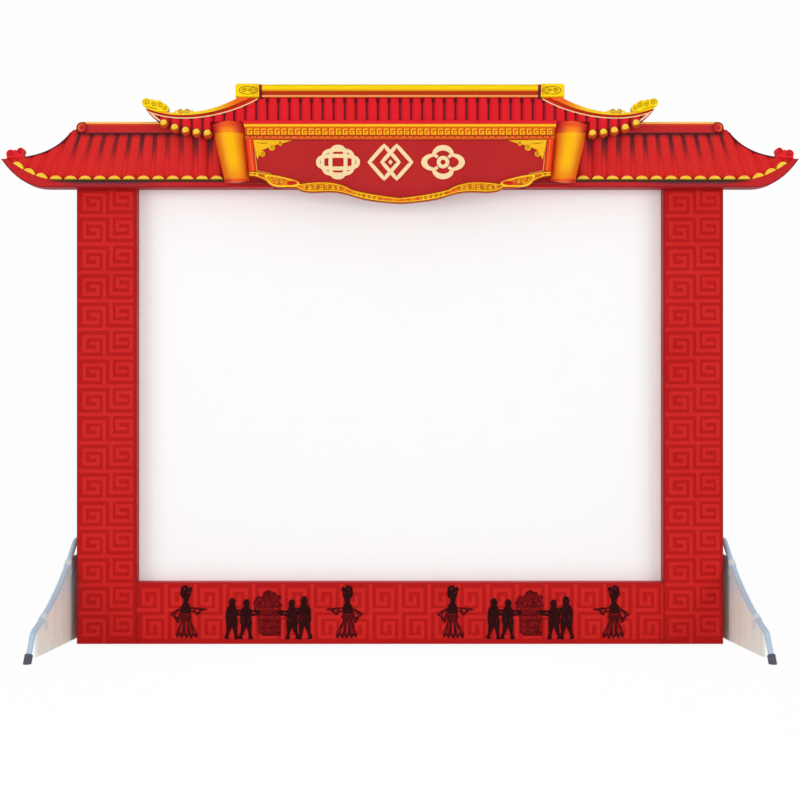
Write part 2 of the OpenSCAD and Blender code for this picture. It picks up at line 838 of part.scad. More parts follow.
// Gilt corner scroll: a slim bracket with three round lobes along its hollow side
module corner_scrolls() {
    high = name_top - 1;
    left = column_in(high) + side_w + 0.6;
    color(gold) both_sides() layer(name_front, name_front + scroll_t) translate([left, high]) {
        polygon([[0, 0], [45.3, -0.7], [33, -4.5], [22, -7], [11, -12], [6.5, -20], [5, -23]]);
        for (lobe = [[32, -4.2, 2.6], [22.3, -8.8, 3.7], [11, -16.4, 3.4]])
            translate([lobe[0], lobe[1]]) circle(lobe[2]);
    }
}

module column_cone(grow) {
    r_top = sqrt(column_top * column_top + column_sink * column_sink) + grow;
    r_low = sqrt(column_bottom * column_bottom + column_sink * column_sink) + grow;
    translate([-column_x + column_step, -upper_front + column_sink, column_low_z])
        rotate([0, -column_lean, 0]) cylinder(r1 = r_low, r2 = r_top, h = column_h / cos(column_lean));
}

module column(side) {
    front = upper_front + 2 * column_top;
    foot_ring = 3.6;
    color(amber) sided(side) {
        intersection() {
            column_cone(0);
            translate([-2 * column_x, -front, column_low_z + foot_ring / 2])
                cube([2 * column_x, front - upper_front, column_h - foot_ring]);
        }
        for (ring = [[column_low_z, foot_ring], [column_top_z - neck_h, neck_h]]) intersection() {
            column_cone(ring_out);
            translate([-2 * column_x, -front, ring[0]]) cube([2 * column_x, front - upper_front, ring[1]]);
        }
    }
}

// The wing's own plane: x runs from the spine to the foot and z is up
module on_spine(side) {
    sided(side) translate([-spine_x, spine_y, 0]) rotate([0, 0, -90 - wing_splay]) children();
}

// Part of a ring in the wing's plane, with its rod swollen by a hair where the bend is tight
module bend(centre, r, from, to, swell = 0) {
    translate([centre[0], 0, centre[1]]) rotate([90, 0, 0]) rotate([0, 0, from])
        rotate_extrude(angle = to - from) translate([r, 0]) circle(rod_r + swell);
}

module wing_rod(side) {
    color(steel) on_spine(side) {
        translate([0, 0, rod_low]) cylinder(r = rod_r, h = wing_rise - rod_low + run_in);
        bend(top_centre, top_bend_r, 90 - slope_top, 180, bend_swell);
        bend(sweep_centre, sweep_r, 270 - slope_top - run_turn, 270 - slope_end + run_turn);
        bend(leg_centre, leg_bend_r, 90 - leg_slope, 90 - slope_end, bend_swell);
        translate([leg_start[0], 0, leg_start[1]]) rotate([0, 90 + leg_slope, 0])
            translate([0, 0, -run_in]) cylinder(r = rod_r, h = leg_l + run_in);
    }
}

module wing_panel(side) {
    color("#efe8d8") on_spine(side) rotate([90, 0, 0]) linear_extrude(panel_t, center = true) difference() {
        translate([panel_in, panel_z]) square([panel_l - panel_in, panel_top - panel_z]);
        translate(sweep_centre) circle(sweep_r + rod_r + panel_gap, $fn = 360);
    }
}

// Saddle clip: an eye round the rod with two ears over the panel
module clip() {
    slot = panel_t + 2 * clip_rest;
    linear_extrude(clip_w, center = true) difference() {
        union() {
            circle(rod_r + clip_rest + clip_t);
            translate([0, -slot / 2 - clip_t]) square([panel_in + clip_ear, slot + 2 * clip_t]);
        }
        circle(rod_r + clip_rest);
        translate([rod_r - 1, -slot / 2]) square([panel_in + clip_ear, slot]);
    }
}

module wing_clips(side) {
    color(steel) on_spine(side) {
        translate([0, 0, spine_clip_z + clip_w / 2]) clip();
        for (share = clip_share) {
            a = 270 - slope_top + share * (slope_top - slope_end);
            translate([sweep_centre[0] + sweep_r * cos(a), 0, sweep_centre[1] + sweep_r * sin(a)])
                rotate([0, -a, 0]) clip();
        }
    }
}

module wing_collar(side) {
    color(steel) on_spine(side) translate([0, 0, bracket_z[0] + eye_h + collar_lift]) difference() {
        cylinder(r = collar_r, h = collar_h);
        translate([0, 0, -1]) cylinder(r = rod_r + 0.05, h = collar_h + 2);
    }
}

module wing_foot(side) {
    color("#33373c") on_spine(side) intersection() {
        translate([leg_start[0], 0, leg_start[1]]) rotate([0, 90 + leg_slope, 0]) difference() {
            translate([0, 0, leg_l - foot_grip]) cylinder(r = foot_r, h = foot_grip + 14);
            translate([0, 0, leg_l - foot_grip - 1]) cylinder(r = rod_r + 0.05, h = foot_grip + 1.1);
        }
        translate([leg_start[0] - 20, -20, 0]) cube([80, 40, 60]);
    }
}

module wing_bracket(side) {
    color(steel) sided(side) difference() {
        union() for (z = bracket_z) {
            translate([-spine_x, spine_y, z]) cylinder(r = eye_r, h = eye_h);
            translate([-spine_x, rear, z]) cube([bracket_in, bracket_t, eye_h]);
        }
        translate([-spine_x, spine_y, bracket_z[0] - 1])
            cylinder(r = rod_r + run_gap, h = bracket_z[1] - bracket_z[0] + eye_h + 2);
        left_screws(screw_gap);
    }
}

post(-1);  // left_post
post(1);  // right_post
bottom_rail();
top_rail();
corner_plates();
wood_screws();
side_bar(-1);  // stretcher_left
side_bar(1);  // stretcher_right
level_bar(bar_top, bar_top - bar_w);  // stretcher_top
level_bar(bar_bottom, bar_bottom + bar_w);  // stretcher_bottom
screen_cloth();
turn_button(pivots[0]);  // button_top_left
turn_button(pivots[1]);  // button_top_right
turn_button(pivots[2]);  // button_bottom_left
turn_button(pivots[3]);  // button_bottom_right
turn_button(pivots[4]);  // button_side_left
turn_button(pivots[5]);  // button_side_right
button_screws();
roof_backboard();
lower_eave(-1);  // lower_eave_left
lower_eave(1);  // lower_eave_right
lower_tiles(-1);  // lower_tiles_left
lower_tiles(1);  // lower_tiles_right
lower_ridge(-1);  // lower_ridge_left
lower_ridge(1);  // lower_ridge_right
lower_tile_ends();
crest(-1);  // crest_left
crest(1);  // crest_right
header_spacer();
upper_roof_board();
upper_tiles();
upper_ridge_beam();
ridge_block(-1);  // ridge_block_left
ridge_block(1);  // ridge_block_right
hip_band(-1);  // hip_band_left
hip_band(1);  // hip_band_right
tip_cloud(-1);  // tip_cloud_left
tip_cloud(1);  // tip_cloud_right
upper_tile_ends();
frieze();
nameplate();
nameplate_border();
side_mouldings();
corner_scrolls();
column(-1);  // column_left
column(1);  // column_right
wing_rod(-1);  // wing_rod_left
wing_rod(1);  // wing_rod_right
wing_panel(-1);  // wing_panel_left
wing_panel(1);  // wing_panel_right
wing_clips(-1);  // wing_clips_left
wing_clips(1);  // wing_clips_right
wing_collar(-1);  // wing_collar_left
wing_collar(1);  // wing_collar_right
wing_foot(-1);  // wing_foot_left
wing_foot(1);  // wing_foot_right
wing_bracket(-1);  // wing_bracket_left
wing_bracket(1);  // wing_bracket_right
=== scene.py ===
import math
from bisect import bisect_left
import bpy
import bmesh
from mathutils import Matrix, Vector
from mathutils.geometry import tessellate_polygon


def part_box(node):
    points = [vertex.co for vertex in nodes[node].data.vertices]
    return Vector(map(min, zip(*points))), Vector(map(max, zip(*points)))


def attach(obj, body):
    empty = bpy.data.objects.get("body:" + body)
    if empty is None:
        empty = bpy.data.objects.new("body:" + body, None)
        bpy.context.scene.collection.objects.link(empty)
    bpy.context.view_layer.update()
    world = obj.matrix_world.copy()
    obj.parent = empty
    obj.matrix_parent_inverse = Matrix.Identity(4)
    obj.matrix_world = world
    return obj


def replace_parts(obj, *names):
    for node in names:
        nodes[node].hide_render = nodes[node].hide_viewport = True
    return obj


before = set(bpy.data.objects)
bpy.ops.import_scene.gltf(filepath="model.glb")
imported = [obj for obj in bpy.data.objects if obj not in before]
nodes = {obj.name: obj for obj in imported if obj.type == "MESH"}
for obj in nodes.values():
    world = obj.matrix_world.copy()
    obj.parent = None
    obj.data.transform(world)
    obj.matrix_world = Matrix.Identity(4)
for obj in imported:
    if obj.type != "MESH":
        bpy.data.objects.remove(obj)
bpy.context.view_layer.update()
scene = bpy.context.scene
mm = 0.001
print("Frame loaded with", len(nodes), "nodes")

# Places in this script are (x, d, z) in millimetres, d being the distance in front of the frame's middle


def edges(name):
    low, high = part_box(name)
    return {
        "left": low.x / mm, "right": high.x / mm, "front": -low.y / mm, "back": -high.y / mm,
        "bottom": low.z / mm, "top": high.z / mm,
    }


def islandBoxes(name):  # a box for each separate solid of a node
    bm = bmesh.new()
    bm.from_mesh(nodes[name].data)
    bmesh.ops.remove_doubles(bm, verts=bm.verts, dist=1e-6)
    left = set(bm.verts)
    boxes = []
    while left:
        stack = [left.pop()]
        island = []
        while stack:
            vert = stack.pop()
            island.append(vert.co / mm)
            fresh = {edge.other_vert(vert) for edge in vert.link_edges} & left
            left -= fresh
            stack += fresh
        boxes.append([[end(co[axis] for co in island) for axis in range(3)] for end in (min, max)])
    bm.free()
    return sorted(boxes)


post = edges("left_post")
eave = edges("lower_eave_left")
ridge = edges("lower_ridge_left")
beam = edges("upper_ridge_beam")
board = edges("nameplate")
border = edges("nameplate_border")
frieze = edges("frieze")
column = edges("column_left")
halfWidth = -post["left"]
openHalf = -post["right"]
eaveZ = eave["bottom"]
upperTop = beam["bottom"]


# Curves and outlines

def bezier(*points, steps=0):
    curve = []
    steps = steps or 6 * (len(points) - 1)
    for i in range(steps + 1):
        t = i / steps
        level = points
        while len(level) > 1:
            level = [tuple(p + (q - p) * t for p, q in zip(a, b)) for a, b in zip(level, level[1:])]
        curve.append(level[0])
    return curve


def moved(point, dx, dz):
    return (point[0] + dx, point[1] + dz)


def offsetLine(points, distance):  # to the left of the direction of travel
    out = []
    for i, (x, z) in enumerate(points):
        ax, az = points[max(i - 1, 0)]
        bx, bz = points[min(i + 1, len(points) - 1)]
        length = math.hypot(bx - ax, bz - az)
        out.append((x - (bz - az) / length * distance, z + (bx - ax) / length * distance))
    return out


def spiral(cx, cz, outer, inner, turns, start=0, hand=1, squash=1, steps=14):
    count = int(turns * steps) + 1
    points = []
    for i in range(count + 1):
        t = i / count
        radius = outer + (inner - outer) * t
        angle = math.radians(start) + hand * t * turns * math.tau
        points.append((cx + radius * math.cos(angle), cz + radius * math.sin(angle) * squash))
    return points


def circle(cx, cz, radius, steps=24):
    angles = [math.tau * i / steps for i in range(steps)]
    return [(cx + radius * math.cos(a), cz + radius * math.sin(a)) for a in angles]


def roundLoop(points, steps=4):  # a smooth closed curve through a few points
    out = []
    for i in range(len(points)):
        corners = [points[(i + k - 1) % len(points)] for k in range(4)]
        for j in range(steps):
            t = j / steps
            out.append(tuple(
                0.5 * (2 * b + (c - a) * t + (2 * a - 5 * b + 4 * c - d) * t * t
                       + (3 * b - a - 3 * c + d) * t ** 3)
                for a, b, c, d in zip(*corners)
            ))
    return out


def ribbon(points, width, closed=False):  # the outline of a band of even width along a line
    half = width / 2
    if closed:
        ring = points[-1:] + points + points[:1]
        return [offsetLine(ring, half)[1:-1], offsetLine(ring, -half)[1:-1]]
    return [offsetLine(points, half) + list(reversed(offsetLine(points, -half)))]


def heightAt(points, x):  # z of a line that runs one way along x
    for (ax, az), (bx, bz) in zip(points, points[1:]):
        if min(ax, bx) <= x <= max(ax, bx) and ax != bx:
            return az + (bz - az) * (x - ax) / (bx - ax)
    return points[-1][1]


def rectangle(left, low, right, high):
    return [(left, low), (right, low), (right, high), (left, high)]


def atDepth(points, d):
    return [(x, d, z) for x, z in points]


# Making pieces

def finishPiece(obj, material):
    scene.collection.objects.link(obj)
    obj.data.materials.append(material)
    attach(obj, "theatre")
    return obj


def meshPiece(name, bm, material, smoothAngle=None, bevel=0):
    bmesh.ops.recalc_face_normals(bm, faces=bm.faces)
    mesh = bpy.data.meshes.new(name)
    bm.to_mesh(mesh)
    bm.free()
    if smoothAngle:
        mesh.shade_smooth()
        mesh.set_sharp_from_angle(angle=math.radians(smoothAngle))
    obj = bpy.data.objects.new(name, mesh)
    if bevel:
        rounding = obj.modifiers.new("rounding", "BEVEL")
        rounding.width = bevel * mm
        rounding.segments = 2
        rounding.limit_method = "ANGLE"
        rounding.angle_limit = math.radians(50)
    return finishPiece(obj, material)


def tubePiece(name, lines, radius, material, slotName, closed=False, taper=False):
    curve = bpy.data.curves.new(name, "CURVE")
    curve.dimensions = "3D"
    curve.bevel_depth = radius * mm
    curve.bevel_resolution = 2
    curve.use_fill_caps = True
    for line in lines:
        spline = curve.splines.new("POLY")
        spline.points.add(len(line) - 1)
        for i, (point, (x, d, z)) in enumerate(zip(spline.points, line)):
            point.co = (x * mm, -d * mm, z * mm, 1)
            share = i / (len(line) - 1)
            point.radius = min(1, 0.35 + 3 * share, 0.35 + 3 * (1 - share)) if taper else 1
        spline.use_cyclic_u = closed
        spline.use_smooth = True
    finishPiece(bpy.data.objects.new(name, curve), material)


def linePair(name, depth, lines, *finish, **shape):  # flat lines of the left half, with their mirror images
    flipped = [[(-x, z) for x, z in line] for line in lines]
    tubePiece(name, [atDepth(line, depth) for line in lines + flipped], *finish, **shape)


def addPlate(bm, loops, back, front):  # a flat shape with holes, from its outline and its holes
    flat = [point for loop in loops for point in loop]
    low, high = ([bm.verts.new((x * mm, -d * mm, z * mm)) for x, z in flat] for d in (back, front))
    for a, b, c in tessellate_polygon([[Vector((x, z, 0)) for x, z in loop] for loop in loops]):
        bm.faces.new((high[a], high[b], high[c]))
        bm.faces.new((low[c], low[b], low[a]))
    start = 0
    for loop in loops:
        end = start + len(loop)
        bridge(bm, low[start:end], high[start:end])
        start = end


def bridge(bm, a, b):  # the faces between two rings, the second of which may be one point
    for i in range(len(a)):
        j = (i + 1) % len(a)
        bm.faces.new((a[i], a[j], b[j], b[i]) if len(b) > 1 else (a[i], a[j], b[0]))


def platePair(name, loops, back, front, material, bevel=0):  # a left plate and its mirror image
    bm = bmesh.new()
    for flip in (1, -1):
        addPlate(bm, [[(flip * x, z) for x, z in loop] for loop in loops], back, front)
    meshPiece(name, bm, material, bevel=bevel)


def addTurned(bm, x, y, z, profile, facing, steps):  # y runs backwards; profile: (radius, rise), rim first
    rings = []
    for radius, rise in profile:
        around = circle(x, z, radius, steps) if radius else [(x, z)]
        rings.append([bm.verts.new((u * mm, (y + facing * rise) * mm, v * mm)) for u, v in around])
    for a, b in zip(rings, rings[1:]):
        bridge(bm, a, b)
    for ring in (rings[0], rings[-1]):
        if len(ring) > 1:
            bm.faces.new(ring)


def reliefPiece(name, boxes, back, front, material):  # boxes (x0, z0, x1, z1) as one raised mesh
    xs = sorted({round(v, 1) for box in boxes for v in (box[0], box[2])})
    zs = sorted({round(v, 1) for box in boxes for v in (box[1], box[3])})
    filled = set()
    for x0, z0, x1, z1 in boxes:
        for i in range(bisect_left(xs, round(x0, 1)), bisect_left(xs, round(x1, 1))):
            for j in range(bisect_left(zs, round(z0, 1)), bisect_left(zs, round(z1, 1))):
                filled.add((i, j))
    bm = bmesh.new()
    made = {}

    def corner(i, j, d):
        if (i, j, d) not in made:
            made[i, j, d] = bm.verts.new((xs[i] * mm, -d * mm, zs[j] * mm))
        return made[i, j, d]

    for i, j in sorted(filled):
        ring = rectangle(i, j, i + 1, j + 1)
        bm.faces.new([corner(a, b, front) for a, b in ring])
        bm.faces.new([corner(a, b, back) for a, b in reversed(ring)])
        for k, beside in enumerate([(i, j - 1), (i + 1, j), (i, j + 1), (i - 1, j)]):
            if beside not in filled:
                a, b = ring[k], ring[(k + 1) % 4]
                bm.faces.new((corner(*a, back), corner(*b, back), corner(*b, front), corner(*a, front)))
    meshPiece(name, bm, material)


# Shader nodes: millimetres throughout

class Wire:  # an output of a node, which the formulas below add, multiply and blend
    def __init__(self, socket):
        self.socket = socket
        self.tree = socket.id_data

    def __add__(self, other):
        return calc("ADD", self, other)

    def __sub__(self, other):
        return calc("SUBTRACT", self, other)

    def __rsub__(self, other):
        return calc("SUBTRACT", other, self)

    def __mul__(self, other):
        return calc("MULTIPLY", self, other)

    def __truediv__(self, other):
        return calc("DIVIDE", self, other)

    def __rtruediv__(self, other):
        return calc("DIVIDE", other, self)

    def __neg__(self):
        return calc("MULTIPLY", self, -1.0)

    def __abs__(self):
        return calc("ABSOLUTE", self)


def rgb(red, green, blue):  # a colour as it looks on screen, 0 to 255
    def linear(v):
        v /= 255
        return v / 12.92 if v <= 0.04045 else ((v + 0.055) / 1.055) ** 2.4
    return (linear(red), linear(green), linear(blue), 1)


def feed(socket, value):
    if isinstance(value, Wire):
        value.tree.links.new(value.socket, socket)
    else:
        socket.default_value = value


def wire(tree, kind, inputs=None, output=0, **settings):  # a new node's output
    made = tree.nodes.new("ShaderNode" + kind)
    for key, value in settings.items():
        setattr(made, key, value)
    for key, value in (inputs or {}).items():
        feed(made.inputs[key], value)
    return Wire(made.outputs[output])


def combine(kind, values, output=0, **settings):  # a node in the tree of the wires that it takes
    tree = next(v.tree for v in values.values() if isinstance(v, Wire))
    return wire(tree, kind, values, output, **settings)


def calc(operation, *values):
    return combine("Math", dict(enumerate(values)), operation=operation)


def blend(factor, a, b, mode="MIX"):
    return combine("Mix", {0: factor, 6: a, 7: b}, 2, data_type="RGBA", blend_type=mode)


def ramp(value, low, high, outLow=0.0, outHigh=1.0):
    inputs = {0: value, 1: low, 2: high, 3: outLow, 4: outHigh}
    return combine("MapRange", inputs, interpolation_type="SMOOTHSTEP")


def dot(a, b):
    return combine("VectorMath", {0: a, 1: b}, "Value", operation="DOT_PRODUCT")


def stretched(place, share):
    return combine("VectorMath", {0: place, 1: share}, operation="MULTIPLY")


def noise(place, scale, detail=2.0, **more):
    return combine("TexNoise", {"Vector": place, "Scale": scale, "Detail": detail, **more}, "Fac")


def normalOf(tree):
    return wire(tree, "NewGeometry", output="Normal")


def millimetres(tree):
    place = wire(tree, "TexCoord", output="Object")
    return wire(tree, "VectorMath", {0: place, "Scale": 1000.0}, operation="SCALE")


def axesOf(place):
    split = combine("SeparateXYZ", {0: place}).socket.node
    return [Wire(output) for output in split.outputs]


def newGroup(name, build, inputs, outputs):  # build takes the tree and the inputs, and returns the outputs
    group = bpy.data.node_groups.new(name, "ShaderNodeTree")
    for key, default in inputs.items():
        kind = {3: "Vector", 4: "Color"}[len(default)] if isinstance(default, tuple) else "Float"
        socket = group.interface.new_socket(key, in_out="INPUT", socket_type="NodeSocket" + kind)
        socket.default_value = default
    for key in outputs:
        kind = {"Normal": "Vector", "Color": "Color"}.get(key, "Float")
        group.interface.new_socket(key, in_out="OUTPUT", socket_type="NodeSocket" + kind)
    source = group.nodes.new("NodeGroupInput").outputs
    target = group.nodes.new("NodeGroupOutput").inputs
    for key, made in zip(outputs, build(group, *[Wire(source[key]) for key in inputs])):
        feed(target[key], made)
    return group


def useGroup(tree, group, **inputs):
    made = tree.nodes.new("ShaderNodeGroup")
    made.node_tree = group
    for key, value in inputs.items():
        feed(made.inputs[key], value)
    return {output.name: Wire(output) for output in made.outputs}


def paintToneNodes(tree, color, shade, size, mottle, gloss):  # slow mottling, fine specks, orange peel
    place = millimetres(tree)
    slow = noise(place, 1.0 / size, 3.0, Roughness=0.55)
    fine = noise(place, 0.9)
    toned = blend(ramp(slow, 0.38, 0.68) * mottle, color, shade)
    specked = blend(ramp(fine, 0.62, 0.78) * (mottle * 0.5), toned, shade)
    return specked, gloss + (slow - 0.5) * 0.25, fine + slow * 2.0


def woodGrainNodes(tree, light, dark, stretch, ring):  # growth rings drawn out along the board, and fibres
    place = stretched(millimetres(tree), stretch)
    x, y, z = axesOf(place)
    rings = calc("FRACT", (x + z + noise(place, 0.03) * 60.0) / ring)
    late = ramp(rings, 0.2, 0.85) * ramp(rings, 1.0, 0.9)
    grain = late * 0.6 + noise(place, 1.3) * 0.4
    return blend(grain, light, dark), grain, grain


def lineMaskNodes(tree, value, centre, width, soft):  # 1 on a line of a coordinate, 0 beside it
    half = width * 0.5
    return [ramp(abs(value - centre), half + soft, half)]


def repeatMaskNodes(tree, value, pitch, start, width, soft):  # lines at every pitch of a coordinate
    away = calc("PINGPONG", value - start, pitch * 0.5)
    half = width * 0.5
    return [ramp(away, half + soft, half)]


def softEdgesNodes(tree, radius, wear):  # a rounded edge for the light, and a mask of the edge itself
    rounded = wire(tree, "Bevel", {"Radius": radius * mm}, samples=4)
    patchy = noise(millimetres(tree), 0.12, 4.0)
    mask = ramp(dot(rounded, normalOf(tree)), 0.985, 0.86) * ramp(patchy, 0.42, 0.62)
    return rounded, mask * wear


white = (1, 1, 1, 1)
black = (0, 0, 0, 1)
paintTone = newGroup(
    "paintTone", paintToneNodes, {"Color": white, "Shade": black, "Size": 60.0, "Mottle": 0.3, "Gloss": 0.4},
    ("Color", "Roughness", "Height"))
woodGrain = newGroup(
    "woodGrain", woodGrainNodes, {"Light": white, "Dark": black, "Stretch": (1, 1, 0.06), "Ring": 7.0},
    ("Color", "Mask", "Height"))
lineMask = newGroup(
    "lineMask", lineMaskNodes, {"Value": 0.0, "Centre": 0.0, "Width": 1.0, "Soft": 0.3}, ("Mask",))
repeatMask = newGroup(
    "repeatMask", repeatMaskNodes,
    {"Value": 0.0, "Pitch": 10.0, "Start": 0.0, "Width": 1.0, "Soft": 0.3}, ("Mask",))
softEdges = newGroup("softEdges", softEdgesNodes, {"Radius": 0.6, "Wear": 0.5}, ("Normal", "Mask"))
print("Shader groups made")


def newMaterial(name, **fixed):
    material = bpy.data.materials.new(name)
    material.use_nodes = True
    shader = material.node_tree.nodes["Principled BSDF"].inputs
    for key, value in fixed.items():
        shader[key.replace("_", " ")].default_value = value
    return material, material.node_tree, shader


def finishSurface(shader, color, roughness, height, depth, edge=None, worn=None):
    # edge gives the radius and wear of the softened edges, which show the worn colour
    tree = color.tree
    bump = {"Height": height, "Strength": 0.6, "Distance": depth * mm}
    if edge:
        soft = useGroup(tree, softEdges, Radius=edge[0], Wear=edge[1])
        color = blend(soft["Mask"], color, rgb(*worn))
        bump["Normal"] = soft["Normal"]
    feed(shader["Base Color"], color)
    feed(shader["Roughness"], roughness)
    feed(shader["Normal"], wire(tree, "Bump", bump))


def paint(name, color, shade, size=60.0, mottle=0.3, gloss=0.46, wear=0.2, worn=(222, 96, 80), radius=0.6,
          marks=None):
    # marks(color) may lay lines, bands and painted light and shade over the colour before the edges are worn
    material, tree, shader = newMaterial(name, Specular_IOR_Level=0.09)
    tone = useGroup(tree, paintTone, Color=rgb(*color), Shade=rgb(*shade),
                    Size=size, Mottle=mottle, Gloss=gloss)
    marked = marks(tone["Color"]) if marks else tone["Color"]
    finishSurface(shader, marked, tone["Roughness"], tone["Height"], 0.04, (radius, wear), worn)
    return material


def band(value, centre, width, soft=0.3):
    return useGroup(value.tree, lineMask, Value=value, Centre=centre, Width=width, Soft=soft)["Mask"]


def axes(color):
    return axesOf(millimetres(color.tree))


# Materials of the frame

printColors = {
    "base": (184, 18, 17), "shade": (170, 13, 14), "line": (208, 34, 30), "lineShade": (198, 27, 25),
    "margin": (146, 16, 16), "marginWidth": 3.0,
}


def printMarks(color):  # the print is a little darker along the boards' long edges
    x, y, z = axes(color)
    side = abs(x)
    outer, inner = (band(side, place, printColors["marginWidth"], 1.2) for place in (halfWidth, openHalf))
    return blend(calc("MAXIMUM", outer, inner) * 0.6, color, rgb(*printColors["margin"]))


redPrint = paint("redPrint", printColors["base"], printColors["shade"], gloss=0.42, marks=printMarks)
fretLight = paint("fretLight", printColors["line"], printColors["lineShade"],
                  gloss=0.42, wear=0.1, radius=0.2)


def makeBarePine(name, stretch):
    material, tree, shader = newMaterial(name)
    wood = useGroup(tree, woodGrain, Light=rgb(228, 196, 150), Dark=rgb(186, 140, 92), Stretch=stretch)
    roughness = ramp(wood["Mask"], 0.0, 1.0, 0.75, 0.6)
    finishSurface(shader, wood["Color"], roughness, wood["Height"], 0.12, (0.8, 0.4), (160, 118, 78))
    return material


uprightPine = makeBarePine("uprightPine", (1, 1, 0.06))
levelPine = makeBarePine("levelPine", (0.06, 1, 1))


def makeSteel():  # zinc-plated: bright, with slow blue-grey spangle and fine scratches
    material, tree, shader = newMaterial("zincSteel", Metallic=1.0)
    place = millimetres(tree)
    spangle = wire(tree, "TexVoronoi", {"Vector": place, "Scale": 0.22}, "Color")
    scratch = noise(stretched(place, (6.0, 6.0, 0.3)), 0.5)
    grey = blend(noise(place, 0.35, 3.0) * 0.5, rgb(196, 200, 204), rgb(160, 168, 178))
    grey = blend(0.06, grey, spangle, "MULTIPLY")
    roughness = ramp(scratch, 0.3, 0.7, 0.3, 0.46)
    finishSurface(shader, grey, roughness, scratch, 0.02, (0.35, 0.6), (224, 226, 228))
    return material


zincSteel = makeSteel()

# Materials of the roofs

slopeTop = ridge["bottom"]
tileBed = 36.0  # distance of the lower tiles' bed in front of the middle
upperPitch = {"inner": 13.0, "outer": 12.75, "first": 225.6, "change": 200.0}
eaveTop = eaveZ + 8.4
beamHalf = 161.8  # half the bright length of the ridge beam


def lowerTileShading(color):  # painted shade: dark streaks in the valleys between the tiles, strong under the ridge and faint at the eave, and a painted shadow right under the ridge; the lower valleys get painted light that evens out their real shade
    x, y, z = axes(color)
    side = abs(x)
    valley = ramp(-y, tileBed + 2.4, tileBed + 0.3)
    high = ramp(z, slopeTop - 44, slopeTop - 4)
    inland = ramp(side, halfWidth + 22, halfWidth - 6)
    streak = noise(stretched(millimetres(color.tree), (1.0, 1.0, 0.12)), 0.1)
    # painted shade in the valleys, broken up by streaky noise
    dark = valley * high * ramp(streak, 0.3, 0.6, 0.6, 1.0)
    shaded = blend(dark * inland, color, rgb(92, 40, 46))
    underRidgeShadow = ramp(z, slopeTop - 5, slopeTop - 0.5) * ramp(side, halfWidth + 2, halfWidth - 8)
    shaded = blend(underRidgeShadow * 0.6, shaded, rgb(96, 38, 44))
    # painted light: the lower valleys are painted lighter to even out their real shade
    low = valley * ramp(z, slopeTop - 14, slopeTop - 40, 0.0, 0.5)
    return blend(low, shaded, rgb(226, 44, 42))


def upperTileShading(color):  # painted light on the barrel tiles: a painted highlight beside each rib's crest, painted shade on its flank, and a thin dark line of painted shade in each valley that ends in a dot under the ridge
    x, y, z = axes(color)
    side = abs(x)
    outer = calc("GREATER_THAN", side, upperPitch["change"])
    inner = 1.0 - outer
    middle = upperPitch["first"] + upperPitch["outer"] / 2

    def lines(width, soft, shift):
        near = useGroup(color.tree, repeatMask, Value=x, Pitch=upperPitch["inner"], Start=shift,
                        Width=width, Soft=soft)
        far = useGroup(color.tree, repeatMask, Value=side, Pitch=upperPitch["outer"], Start=middle + shift,
                       Width=width, Soft=soft)
        return near["Mask"] * inner + far["Mask"] * outer

    # painted shade: a dark dot at the top of each valley, under the ridge
    valleyDotShade = lines(2.6, 0.8, 0.0) * ramp(z, upperTop - 6.5, upperTop - 4)
    # a painted highlight beside each crest, then painted shade on the flank
    ribHighlight = blend(lines(3.0, 2.0, 5.0) * 0.5, color, rgb(232, 20, 40))
    darker = blend(lines(2.4, 1.8, 1.6) * 0.35, ribHighlight, rgb(168, 16, 44))
    return blend(calc("MAXIMUM", lines(1.1, 0.7, 0.0), valleyDotShade), darker, rgb(92, 16, 28))


def ridgeShading(color):  # a painted highlight along the top and a line of painted shade along the foot, as far as the round ends
    x, y, z = axes(color)
    inland = ramp(abs(x), halfWidth - 9, halfWidth - 12)
    # painted highlight along the top; painted shade along the foot
    glow = ramp(z, ridge["top"] - 5.0, ridge["top"] - 2.0) * inland
    low = ramp(z, ridge["bottom"] + 2.2, ridge["bottom"] + 1.2) * inland
    return blend(low, blend(glow * 0.8, color, rgb(226, 84, 44)), rgb(84, 34, 38))


def eaveShading(color):  # painted shade: a dark line under the scallops, and a violet painted shadow where the strip crosses the posts
    x, y, z = axes(color)
    side = abs(x)
    # painted shade right under the scallops
    line = ramp(z, eaveTop - 3.0, eaveTop - 1.6) * ramp(side, halfWidth + 34, halfWidth + 10)
    onPost = ramp(side, openHalf - 40, openHalf + 6) * ramp(side, halfWidth + 24, halfWidth - 12)
    shadow = ramp(z, eaveTop - 8.0, eaveTop - 3.0) * onPost
    return blend(line * 0.9, blend(shadow * 0.85, color, rgb(104, 44, 62)), rgb(46, 40, 40))


lowerTile = paint("lowerTile", (216, 38, 36), (206, 30, 33), size=40.0, marks=lowerTileShading,
                  radius=0.5, wear=0.05)
upperTile = paint("upperTile", (226, 30, 38), (214, 24, 42), size=30.0, marks=upperTileShading,
                  radius=0.4, wear=0.05)
ridgeRed = paint("ridgeRed", (196, 40, 40), (186, 34, 36), marks=ridgeShading, wear=0.1)
crestRed = paint("crestRed", (230, 34, 42), (214, 28, 38), size=14.0, wear=0.1)
eaveRed = paint("eaveRed", (196, 36, 38), (184, 30, 34), size=50.0, marks=eaveShading, wear=0.1)
roofBoard = paint("roofBoard", (146, 20, 24), (128, 15, 18), size=80.0, gloss=0.52)


def goldPaint(name, color, shade, marks=None, size=18.0):
    return paint(name, color, shade, size=size, mottle=0.4, gloss=0.4, worn=(255, 224, 120), radius=0.5,
                 marks=marks)


def scallopMarks(color):  # each end is orange on top and bright in the middle, with olive painted shade along its lower edge
    x, y, z = axes(color)
    flat = ramp(abs(x), halfWidth + 36, halfWidth + 30)
    height = z - eaveTop
    # olive painted shade along the lower edge
    low = ramp(height, 1.7, 0.6) * flat
    high = ramp(height, 3.2, 4.8) * flat
    return blend(low, blend(high * 0.7, color, rgb(240, 138, 44)), rgb(132, 118, 20))


